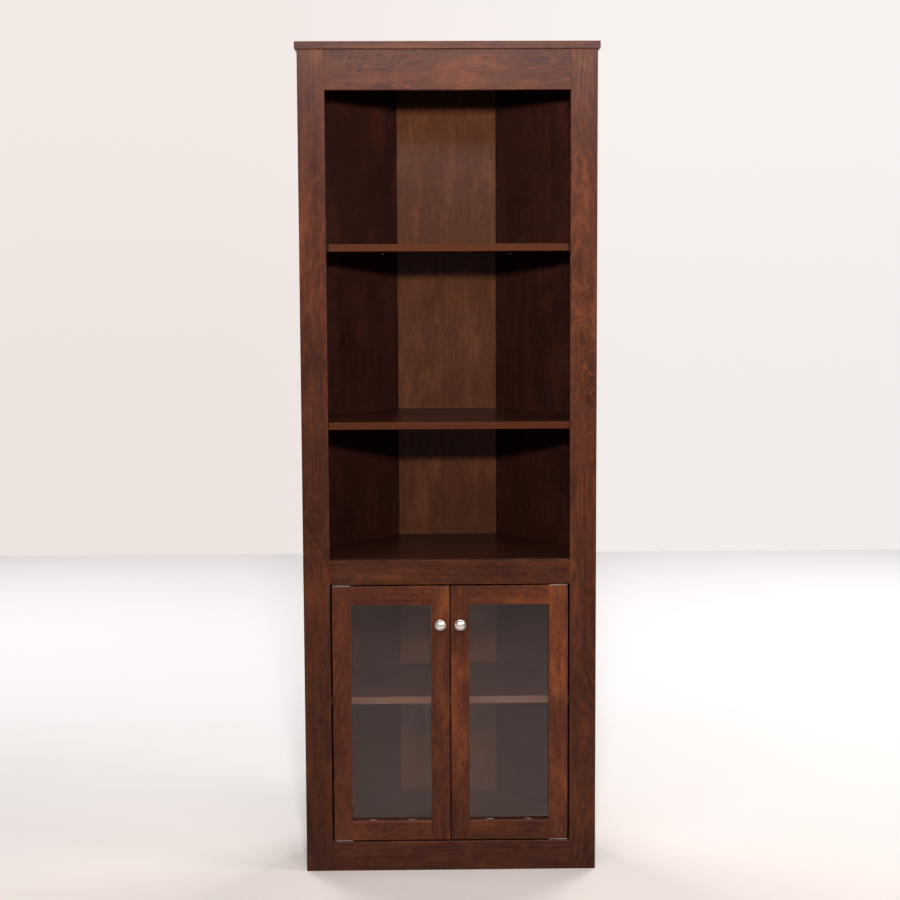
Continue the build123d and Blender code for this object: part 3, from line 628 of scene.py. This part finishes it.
def plainFinish(name, p):
    material, tree, shader = newMaterial(name)
    place = objectPlace(tree)
    speck = noise(tree, place, speckle["seed"], scale=p["scale"], detail=3)
    color = blend(tree, ramp(tree, speck, *speckle["patch"]), opaque(p["color"]), opaque(p["shade"]))
    feed(tree, shader.inputs["Base Color"], color)
    rough = sums(tree, "ADD", sums(tree, "MULTIPLY", speck, speckle["rough"]), p["rough"])
    feed(tree, shader.inputs["Roughness"], rough)
    setBump(tree, shader, speckle["strength"], speckle["distance"], speck)
    return material


beech = {
    "pale": (0.66, 0.46, 0.27),
    "body": (0.56, 0.37, 0.20),
    "fleck": (0.34, 0.19, 0.09),
    "fleckStretch": (160, 900, 900),
    "fleckSeed": 3.0,
    "fleckPatch": (0.58, 0.72),
    "fleckAmount": 0.5,
    "toneScale": 40.0,
    "toneSeed": 6.0,
    "tonePatch": (0.3, 0.7),
    "rough": 0.55,
    "spread": 0.2,
}


def beechFinish(b):
    material, tree, shader = newMaterial("rawBeech")
    place = objectPlace(tree)
    fleck = noise(tree, vectorSum(tree, "MULTIPLY", place, b["fleckStretch"]), b["fleckSeed"], detail=3)
    tone = noise(tree, place, b["toneSeed"], scale=b["toneScale"], detail=2)
    color = blend(tree, ramp(tree, tone, *b["tonePatch"]), opaque(b["body"]), opaque(b["pale"]))
    marks = sums(tree, "MULTIPLY", ramp(tree, fleck, *b["fleckPatch"]), b["fleckAmount"])
    feed(tree, shader.inputs["Base Color"], blend(tree, marks, color, opaque(b["fleck"])))
    rough = sums(tree, "ADD", sums(tree, "MULTIPLY", fleck, b["spread"]), b["rough"])
    feed(tree, shader.inputs["Roughness"], rough)
    return material


pane = {
    "tint": (0.96, 0.92, 0.90),
    "sheen": (0.90, 0.76, 0.74),
    "shadow": (0.92, 0.89, 0.87),
    "index": 1.5,
    "filmScale": 9.0,
    "filmRough": 0.004,
}


def glassFinish(g):
    material, tree, shader = newMaterial("clearGlass")
    place = objectPlace(tree)
    film = fillGroup(tree, handledFilm, {"Vector": place, "Scale": g["filmScale"]}).outputs["Film"]
    shader.inputs["Base Color"].default_value = opaque(g["tint"])
    shader.inputs["Specular Tint"].default_value = opaque(g["sheen"])
    feed(tree, shader.inputs["Roughness"], sums(tree, "MULTIPLY", film, g["filmRough"]))
    shader.inputs["Transmission Weight"].default_value = 1.0
    shader.inputs["IOR"].default_value = g["index"]
    through = addNode(tree, "ShaderNodeBsdfTransparent", {"Color": opaque(g["shadow"])}).outputs[0]
    shadowed = addNode(tree, "ShaderNodeLightPath").outputs["Is Shadow Ray"]
    mix = addNode(tree, "ShaderNodeMixShader", {0: shadowed, 1: shader.outputs[0], 2: through})
    feed(tree, tree.nodes["Material Output"].inputs["Surface"], mix.outputs[0])
    return material


finishes = {name: metalFinish(name, m) for name, m in metals.items()}
finishes.update({name: plainFinish(name, p) for name, p in plains.items()})
finishes["rawBeech"] = beechFinish(beech)
finishes["clearGlass"] = glassFinish(pane)
print("stage: finishes")

mergeGap = 0.00001       # points of a CAD mesh closer than this are one point
fineGap = mergeGap / 10  # and of a finished piece
endGap = 0.0001          # points this near a bar's end belong to it


def solidsOf(node):
    mesh = bmesh.new()
    mesh.from_mesh(nodes[node].data)
    bmesh.ops.remove_doubles(mesh, verts=mesh.verts, dist=mergeGap)
    left = set(mesh.verts)
    found = []
    while left:
        solid = []
        edge = [left.pop()]
        while edge:
            vert = edge.pop()
            solid.append(vert.co.copy())
            near = {link.other_vert(vert) for link in vert.link_edges} & left
            left -= near
            edge.extend(near)
        found.append(np.array(solid))
    mesh.free()
    return sorted(found, key=lambda points: tuple(points.mean(0).round(4)))


def barOf(points):
    # the start, direction, length and widest radius of one turned solid, its wide end first
    middle = (points.min(0) + points.max(0)) / 2
    values, vectors = np.linalg.eigh(np.cov((points - points.mean(0)).T))
    odd = 0 if abs(values[0] - values[1]) > abs(values[1] - values[2]) else 2
    along = vectors[:, odd]
    along = along * (1 if along.sum() > 0 else -1)
    depth = (points - middle) @ along
    low, high = depth.min(), depth.max()
    off = np.linalg.norm((points - middle) - np.outer(depth, along), axis=1)
    if off[depth > high - endGap].max() > off[depth < low + endGap].max() + endGap:
        along, low, high = -along, -high, -low
    return Vector(middle + along * low), Vector(along), float(high - low), float(off.max())


def flipped(bar):
    start, along, length, radius = bar
    return start + along * length, -along, length, radius


def newTree(name, sizes):
    tree = bpy.data.node_groups.new(name, "GeometryNodeTree")
    tree.interface.new_socket("Geometry", in_out="INPUT", socket_type="NodeSocketGeometry")
    for label in sizes:
        tree.interface.new_socket(label, in_out="INPUT", socket_type="NodeSocketFloat")
    tree.interface.new_socket("Material", in_out="INPUT", socket_type="NodeSocketMaterial")
    tree.interface.new_socket("Geometry", in_out="OUTPUT", socket_type="NodeSocketGeometry")
    return tree, addNode(tree, "NodeGroupInput").outputs, addNode(tree, "NodeGroupOutput").inputs


def byIndex(tree, values):
    index = addNode(tree, "GeometryNodeInputIndex").outputs[0]
    node = addNode(tree, "GeometryNodeIndexSwitch", data_type="FLOAT")
    while len(node.index_switch_items) < len(values):
        node.index_switch_items.new()
    feed(tree, node.inputs[0], index)
    for position, value in enumerate(values, 1):
        feed(tree, node.inputs[position], value)
    return node.outputs[0]


def turned(tree, stations, profile):
    # a closed turned solid; each station is a height along Z and a radius
    heights, radii = zip(*stations)
    line = addNode(tree, "GeometryNodeCurvePrimitiveLine", {"Start": (0, 0, 0), "End": (0, 0, 1)}).outputs[0]
    count = {"Curve": line, "Count": len(stations)}
    line = addNode(tree, "GeometryNodeResampleCurve", count, mode="COUNT").outputs[0]
    place = addNode(tree, "ShaderNodeCombineXYZ", {2: byIndex(tree, heights)}).outputs[0]
    line = addNode(tree, "GeometryNodeSetPosition", {"Geometry": line, "Position": place}).outputs[0]
    sweep = {"Curve": line, "Profile Curve": profile, "Scale": byIndex(tree, radii), "Fill Caps": True}
    return addNode(tree, "GeometryNodeCurveToMesh", sweep).outputs[0]


def roundProfile(tree, sides):
    return addNode(tree, "GeometryNodeCurvePrimitiveCircle", {"Resolution": sides, "Radius": 1.0}).outputs[0]


def flutedProfile(tree, flutes, inner):
    star = {"Points": flutes, "Inner Radius": inner, "Outer Radius": 1.0}
    return addNode(tree, "GeometryNodeCurveStar", star).outputs[0]


threadSides = 3
threadSteps = 14  # points to a turn


def thread(tree, start, length, radius, depth, pitch):
    turns = sums(tree, "DIVIDE", length, pitch)
    spiral = {"Resolution": threadSteps, "Rotations": turns, "Height": length}
    spiral.update({"Start Radius": radius, "End Radius": radius})
    curve = addNode(tree, "GeometryNodeCurveSpiral", spiral).outputs[0]
    curve = addNode(tree, "GeometryNodeSetCurveNormal", {"Curve": curve}, mode="Z_UP").outputs[0]
    circle = {"Resolution": threadSides, "Radius": depth}
    ridge = addNode(tree, "GeometryNodeCurvePrimitiveCircle", circle).outputs[0]
    sweep = {"Curve": curve, "Profile Curve": ridge, "Fill Caps": True}
    mesh = addNode(tree, "GeometryNodeCurveToMesh", sweep).outputs[0]
    lift = addNode(tree, "ShaderNodeCombineXYZ", {2: start}).outputs[0]
    return addNode(tree, "GeometryNodeTransform", {"Geometry": mesh, "Translation": lift}).outputs[0]


def joined(tree, parts):
    join = addNode(tree, "GeometryNodeJoinGeometry")
    for part in parts:
        tree.links.new(part, join.inputs[0])
    return join.outputs[0]


def crossCut(tree, body, reach, width, depth):
    deep = sums(tree, "MULTIPLY", depth, 2.0)  # half of each block stands above the end face
    for size in ((reach, width), (width, reach)):
        bar = addNode(tree, "ShaderNodeCombineXYZ", {0: size[0], 1: size[1], 2: deep}).outputs[0]
        block = addNode(tree, "GeometryNodeMeshCube", {"Size": bar}).outputs[0]
        cut = addNode(tree, "GeometryNodeMeshBoolean", operation="DIFFERENCE", solver="EXACT")
        feed(tree, cut.inputs["Mesh 1"], body)
        feed(tree, cut.inputs["Mesh 2"], block)
        body = cut.outputs[0]
    return body


def setOnPoints(tree, source, result, solid):
    stored = {"Name": "along"}
    along = addNode(tree, "GeometryNodeInputNamedAttribute", stored, data_type="FLOAT_VECTOR").outputs[0]
    turn = addNode(tree, "FunctionNodeAlignRotationToVector", {"Vector": along}, axis="Z").outputs[0]
    spread = {"Points": source["Geometry"], "Instance": solid, "Rotation": turn}
    placed = addNode(tree, "GeometryNodeInstanceOnPoints", spread).outputs[0]
    real = addNode(tree, "GeometryNodeRealizeInstances", {"Geometry": placed}).outputs[0]
    finish = {"Geometry": real, "Material": source["Material"]}
    feed(tree, result["Geometry"], addNode(tree, "GeometryNodeSetMaterial", finish).outputs[0])


screwShape = {"sides": 32, "shank": 0.5, "point": 0.15, "shoulderAt": 0.30, "rimAt": 0.75}


def screwTree(shape):
    sizes = ("Length", "Head Radius", "Head Lift", "Crown Share", "Neck Length", "Tip Length",
             "Thread Depth", "Pitch", "Cross Reach", "Cross Width", "Cross Depth")
    tree, source, result = newTree("screwTree", sizes)
    length, head, lift = source["Length"], source["Head Radius"], source["Head Lift"]
    shank = sums(tree, "MULTIPLY", head, shape["shank"])
    core = sums(tree, "SUBTRACT", shank, source["Thread Depth"])
    crown = sums(tree, "MULTIPLY", head, source["Crown Share"])
    shoulder = sums(tree, "MULTIPLY", sums(tree, "ADD", sums(tree, "ADD", head, head), crown), 1 / 3)
    shoulderAt = sums(tree, "MULTIPLY", lift, shape["shoulderAt"])
    rimAt = sums(tree, "MULTIPLY", lift, shape["rimAt"])
    neck = sums(tree, "ADD", lift, source["Neck Length"])
    start = sums(tree, "ADD", neck, source["Pitch"])
    tip = sums(tree, "SUBTRACT", length, source["Tip Length"])
    point = sums(tree, "MULTIPLY", core, shape["point"])
    stations = [(0.0, crown), (shoulderAt, shoulder), (rimAt, head), (lift, head),
                (neck, shank), (start, core), (tip, core), (length, point)]
    blank = turned(tree, stations, roundProfile(tree, shape["sides"]))
    cut = crossCut(tree, blank, source["Cross Reach"], source["Cross Width"], source["Cross Depth"])
    run = sums(tree, "SUBTRACT", tip, start)
    ridge = thread(tree, start, run, core, source["Thread Depth"], source["Pitch"])
    setOnPoints(tree, source, result, joined(tree, [cut, ridge]))
    return tree


dowelShape = {"flutes": 18, "inner": 0.93}


def dowelTree(shape):
    tree, source, result = newTree("dowelTree", ("Length", "Radius", "Chamfer"))
    length, radius, chamfer = source["Length"], source["Radius"], source["Chamfer"]
    small = sums(tree, "SUBTRACT", radius, chamfer)
    far = sums(tree, "SUBTRACT", length, chamfer)
    stations = [(0.0, small), (chamfer, radius), (far, radius), (length, small)]
    profile = flutedProfile(tree, shape["flutes"], shape["inner"])
    setOnPoints(tree, source, result, turned(tree, stations, profile))
    return tree


pinShape = {"sides": 28, "grooveSteps": (-3.0, -2.0, 2.0, 3.0)}  # in groove depths from the middle


def pinTree(shape):
    tree, source, result = newTree("pinTree", ("Length", "Radius", "Chamfer", "Groove"))
    length, radius, chamfer = source["Length"], source["Radius"], source["Chamfer"]
    small = sums(tree, "SUBTRACT", radius, chamfer)
    waist = sums(tree, "SUBTRACT", radius, source["Groove"])
    middle = sums(tree, "MULTIPLY", length, 0.5)
    far = sums(tree, "SUBTRACT", length, chamfer)
    steps = [sums(tree, "MULTIPLY_ADD", source["Groove"], factor) for factor in shape["grooveSteps"]]
    for step in steps:
        feed(tree, step.node.inputs[2], middle)
    stations = [(0.0, small), (chamfer, radius), (steps[0], radius), (steps[1], waist), (steps[2], waist),
                (steps[3], radius), (far, radius), (length, small)]
    setOnPoints(tree, source, result, turned(tree, stations, roundProfile(tree, shape["sides"])))
    return tree


camShape = {"sides": 40, "waist": 0.80, "waistAt": (0.34, 0.38, 0.74, 0.78)}


def camTree(shape):
    sizes = ("Length", "Radius", "Chamfer", "Cross Reach", "Cross Width", "Cross Depth")
    tree, source, result = newTree("camTree", sizes)
    length, radius, chamfer = source["Length"], source["Radius"], source["Chamfer"]
    small = sums(tree, "SUBTRACT", radius, chamfer)
    waist = sums(tree, "MULTIPLY", radius, shape["waist"])
    far = sums(tree, "SUBTRACT", length, chamfer)
    low, lowIn, highIn, high = (sums(tree, "MULTIPLY", length, share) for share in shape["waistAt"])
    stations = [(0.0, small), (chamfer, radius), (low, radius), (lowIn, waist), (highIn, waist),
                (high, radius), (far, radius), (length, small)]
    blank = turned(tree, stations, roundProfile(tree, shape["sides"]))
    cut = crossCut(tree, blank, source["Cross Reach"], source["Cross Width"], source["Cross Depth"])
    setOnPoints(tree, source, result, cut)
    return tree


boltShape = {"sides": 28, "ball": 0.86, "stem": 0.52, "end": 0.45, "ballAt": (0.30, 0.75), "step": 0.0002}


def boltTree(shape):
    sizes = ("Length", "Radius", "Head Length", "Thread Length", "Thread Depth", "Pitch")
    tree, source, result = newTree("boltTree", sizes)
    length, radius, head, pitch = source["Length"], source["Radius"], source["Head Length"], source["Pitch"]
    ball, stem, end = (sums(tree, "MULTIPLY", radius, shape[key]) for key in ("ball", "stem", "end"))
    ballIn, ballOut = (sums(tree, "MULTIPLY", head, share) for share in shape["ballAt"])
    core = sums(tree, "SUBTRACT", radius, source["Thread Depth"])
    begin = sums(tree, "SUBTRACT", length, source["Thread Length"])
    collar = sums(tree, "SUBTRACT", begin, pitch)
    collarIn, coreIn = (sums(tree, "ADD", height, shape["step"]) for height in (collar, begin))
    tip = sums(tree, "SUBTRACT", length, pitch)
    stations = [(0.0, end), (ballIn, ball), (ballOut, ball), (head, stem), (collar, stem),
                (collarIn, radius), (begin, radius), (coreIn, core), (tip, core), (length, stem)]
    blank = turned(tree, stations, roundProfile(tree, shape["sides"]))
    run = sums(tree, "SUBTRACT", source["Thread Length"], sums(tree, "MULTIPLY", pitch, 2.0))
    ridge = thread(tree, begin, run, core, source["Thread Depth"], pitch)
    setOnPoints(tree, source, result, joined(tree, [blank, ridge]))
    return tree


roundAngle = 38.0   # edges sharper than this stay crisp on turned pieces


def closedShells(mesh, smoothAngle):
    shape = bmesh.new()
    shape.from_mesh(mesh)
    bmesh.ops.remove_doubles(shape, verts=shape.verts, dist=fineGap)
    bmesh.ops.recalc_face_normals(shape, faces=shape.faces)
    shape.to_mesh(mesh)
    shape.free()
    for face in mesh.polygons:
        face.use_smooth = True
    mesh.set_sharp_from_angle(angle=math.radians(smoothAngle))


def standFor(piece, node):
    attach(piece, nodes[node]["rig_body"])
    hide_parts(node)


def setFasteners(node, bars, tree, sizes, material):
    mesh = bpy.data.meshes.new(node + "_places")
    mesh.from_pydata([bar[0] for bar in bars], [], [])
    attribute = mesh.attributes.new("along", "FLOAT_VECTOR", "POINT")
    for item, bar in zip(attribute.data, bars):
        item.vector = bar[1]
    piece = bpy.data.objects.new("detailed_" + node, mesh)
    bpy.context.scene.collection.objects.link(piece)
    modifier = piece.modifiers.new("build", "NODES")
    modifier.node_group = tree
    values = dict(sizes, Material=material)
    for item in tree.interface.items_tree:
        if item.in_out == "INPUT" and item.name in values:
            modifier[item.identifier] = values[item.name]
    finished = bpy.data.meshes.new_from_object(piece.evaluated_get(bpy.context.evaluated_depsgraph_get()))
    piece.modifiers.remove(modifier)
    piece.data = finished
    closedShells(finished, roundAngle)
    standFor(piece, node)


flatScrew = {
    "Head Lift": 0.00020, "Crown Share": 0.95, "Tip Length": 0.0035, "Thread Depth": 0.00038, "Pitch": 0.0013}
domeScrew = {
    "Head Lift": 0.0016, "Crown Share": 0.45, "Tip Length": 0.0022, "Thread Depth": 0.00028, "Pitch": 0.0010}
flatNeck = 0.5        # of the head's radius, under a flat head
domeNeck = 0.0001     # a domed head has its shank straight under it
knobScrewLift = 0.0024
crossShares = {"Cross Reach": 1.05, "Cross Width": 0.22, "Cross Depth": 0.42}  # of the head's radius
dowelSizes = {"Chamfer": 0.0008}
pinSizes = {"Chamfer": 0.0005, "Groove": 0.0003}
camSizes = {"Chamfer": 0.0005, "Cross Reach": 0.0100, "Cross Width": 0.0018, "Cross Depth": 0.0026}
boltSizes = {"Head Length": 0.0032, "Thread Length": 0.0095, "Thread Depth": 0.0006, "Pitch": 0.0016}
trees = {
    "screw": screwTree(screwShape),
    "dowel": dowelTree(dowelShape),
    "pin": pinTree(pinShape),
    "cam": camTree(camShape),
    "bolt": boltTree(boltShape),
}


def setScrews(node, kind, headLift=None):
    bars = [barOf(points) for points in solidsOf(node)]
    length, head = bars[0][2], bars[0][3]
    sizes = dict(kind, **{label: share * head for label, share in crossShares.items()})
    sizes["Head Lift"] = headLift or kind["Head Lift"]
    sizes["Neck Length"] = flatNeck * head if kind is flatScrew else domeNeck
    sizes["Length"], sizes["Head Radius"] = length, head
    setFasteners(node, bars, trees["screw"], sizes, finishes["zincSteel"])


def setBars(node, kind, sizes, material, turnBar=None):
    bars = [barOf(points) for points in solidsOf(node)]
    bars = [flipped(bar) if turnBar and turnBar(bar) else bar for bar in bars]
    sizes = dict(sizes, Length=bars[0][2], Radius=bars[0][3])
    setFasteners(node, bars, trees[kind], sizes, finishes[material])


def headOutside(bar):
    # a cam bolt is turned round when it starts further from the case's upright axis than it ends
    start, along, length, radius = bar
    end = start + along * length
    return start.xy.length > end.xy.length


flatScrewNodes = (
    "cleat_screws", "door_stop_screws", "frame_pivot_screws",
    "left_door_pivot_screws", "right_door_pivot_screws")
for node in flatScrewNodes:
    setScrews(node, flatScrew)
for side in ("left_", "right_"):
    setScrews(side + "door_clip_screws", domeScrew)
    setScrews(side + "door_knob_screw", domeScrew, knobScrewLift)
    setBars(side + "door_dowels", "dowel", dowelSizes, "rawBeech")
for node in ("rail_dowels", "stile_dowels", "top_dowels"):
    setBars(node, "dowel", dowelSizes, "rawBeech")
for node in ("upper_shelf_pins", "cupboard_shelf_pins"):
    setBars(node, "pin", pinSizes, "zincSteel")
setBars("cams", "cam", camSizes, "zincSteel", lambda bar: bar[1].z < 0)
setBars("cam_bolts", "bolt", boltSizes, "zincSteel", headOutside)
print("stage: fasteners")

knobShape = {  # radii as shares of the knob's radius, heights as shares of its reach
    "segments": 96,
    "arcSteps": 14,
    "bore": 0.16,
    "boreDepth": 0.10,
    "foot": 0.60,
    "footChamfer": (0.96, 0.012),
    "footHeight": 0.05,
    "stepIn": 0.95,
    "stepHeights": (0.058, 0.070),
    "neck": 0.40,
    "neckCurve": ((1.16, 0.15), (1.0, 0.35)),
    "flare": (1.52, 0.06),
    "rimLow": 0.54,
    "rimHigh": 0.69,
    "rim": 0.93,
    "groove": ((0.972, 0.004), (0.955, 0.006)),
    "domeEdge": 0.94,
}


def arcPoints(start, middle, end, steps):
    # points on the circle through three points, the first one left out
    ax, ay, bx, by = middle[0] - start[0], middle[1] - start[1], end[0] - start[0], end[1] - start[1]
    cross = 2 * (ax * by - ay * bx)
    cx = (by * (ax * ax + ay * ay) - ay * (bx * bx + by * by)) / cross
    cy = (ax * (bx * bx + by * by) - bx * (ax * ax + ay * ay)) / cross
    radius = math.hypot(cx, cy)
    first = math.atan2(-cy, -cx)
    half = math.remainder(math.atan2(ay - cy, ax - cx) - first, 2 * math.pi)
    whole = half + math.remainder(math.atan2(by - cy, bx - cx) - first - half, 2 * math.pi)
    angles = [first + whole * step / steps for step in range(1, steps + 1)]
    return [(start[0] + cx + radius * math.cos(a), start[1] + cy + radius * math.sin(a)) for a in angles]


def knobOutline(reach, head, k):
    # radius and height of each point, from the bore in the foot to the top of the dome
    foot, neck, edge = k["foot"] * head, k["neck"] * head, k["rim"] * head
    rimLow, rimHigh = k["rimLow"] * reach, k["rimHigh"] * reach
    bore, boreTop = k["bore"] * head, k["boreDepth"] * reach
    crown = reach - rimHigh
    dome = (edge * edge + crown * crown) / (2 * crown)
    half = math.asin(edge / dome) / 2
    domeMiddle = (dome * math.sin(half), reach - dome * (1 - math.cos(half)))
    chamferIn, chamferHigh = k["footChamfer"]
    profile = [(0.0, boreTop), (bore, boreTop), (bore, 0.0), (chamferIn * foot, 0.0),
               (foot, chamferHigh * reach), (foot, k["footHeight"] * reach)]
    profile += [(k["stepIn"] * foot, height * reach) for height in k["stepHeights"]]
    (waistOut, waistAt), (neckOut, neckAt) = k["neckCurve"]
    waist, top = (waistOut * neck, waistAt * reach), (neckOut * neck, neckAt * reach)
    profile += arcPoints(profile[-1], waist, top, k["arcSteps"])
    flare = (k["flare"][0] * neck, rimLow - k["flare"][1] * reach)
    profile += arcPoints(profile[-1], flare, (edge, rimLow), k["arcSteps"])
    profile += arcPoints(profile[-1], (head, (rimLow + rimHigh) / 2), (edge, rimHigh), k["arcSteps"])
    profile += [(inward * edge, rimHigh + rise * reach) for inward, rise in k["groove"]]
    domePoints = arcPoints((edge, rimHigh), domeMiddle, (0.0, reach), 3 * k["arcSteps"])
    profile += [point for point in domePoints if point[0] < k["domeEdge"] * edge]
    profile[-1] = (0.0, reach)
    return profile


def makeKnob(node, k):
    low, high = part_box(node)
    middle = (low + high) / 2
    outline = knobOutline(high.y - low.y, (high.x - low.x) / 2, k)
    shape = bmesh.new()
    verts = [shape.verts.new((middle.x + radius, high.y - out, middle.z)) for radius, out in outline]
    edges = [shape.edges.new(pair) for pair in zip(verts, verts[1:])]
    turn = {"cent": (middle.x, 0, middle.z), "axis": (0, 1, 0), "angle": 2 * math.pi, "steps": k["segments"]}
    bmesh.ops.spin(shape, geom=verts + edges, use_merge=True, use_duplicate=False, **turn)
    bmesh.ops.remove_doubles(shape, verts=shape.verts, dist=fineGap)
    mesh = bpy.data.meshes.new("turned_" + node)
    shape.to_mesh(mesh)
    shape.free()
    mesh.materials.append(finishes["polishedNickel"])
    piece = bpy.data.objects.new("turned_" + node, mesh)
    bpy.context.scene.collection.objects.link(piece)
    closedShells(mesh, roundAngle)
    standFor(piece, node)


for side in ("left_", "right_"):
    makeKnob(side + "door_knob", knobShape)
print("stage: knobs")

softCopies = {  # node: (broken edge, steps, finish, slot)
    "frame_pivot_leaves": (0.00025, 2, "nickelPlate", "nickel_plate"),
    "pivot_washers": (0.00025, 2, "clearNylon", "nylon"),
    "catch_magnets": (0.00040, 2, "darkFerrite", "ferrite"),
}
doorCopies = {
    "door_pivot_leaves": (0.00025, 2, "nickelPlate", "nickel_plate"),
    "door_glass_clips": (0.00045, 3, "clearNylon", "nylon"),
    "door_strike": (0.00015, 2, "zincSteel", "zinc_steel"),
    "door_glass": (0.00040, 2, "clearGlass", "clear_glass"),
}
for side in ("left_", "right_"):
    softCopies.update({side + node: plan for node, plan in doorCopies.items()})
creaseAngle = 30.0  # edges sharper than this are broken
crispAngle = 25.0   # and shading stays crisp from here, so the flat faces look flat
flatAngle = 1.0     # faces nearer level than this are one face


def makeSoftCopy(node, edge, steps, finish, slot):
    shape = bmesh.new()
    shape.from_mesh(nodes[node].data)
    bmesh.ops.remove_doubles(shape, verts=shape.verts, dist=mergeGap)
    flat = math.radians(flatAngle)
    bmesh.ops.dissolve_limit(shape, angle_limit=flat, verts=shape.verts, edges=shape.edges)
    crease = math.radians(creaseAngle)
    sharp = [line for line in shape.edges if line.is_manifold and line.calc_face_angle() > crease]
    width = {"offset": edge, "segments": steps, "profile": 0.5, "clamp_overlap": True}
    bmesh.ops.bevel(shape, geom=sharp, affect="EDGES", **width)
    mesh = bpy.data.meshes.new("soft_" + node)
    shape.to_mesh(mesh)
    shape.free()
    mesh.materials.append(finishes[finish])
    piece = bpy.data.objects.new("soft_" + node, mesh)
    bpy.context.scene.collection.objects.link(piece)
    closedShells(mesh, crispAngle)
    standFor(piece, node)


for node, plan in softCopies.items():
    makeSoftCopy(node, *plan)
print("stage: leaves, clips and glass")
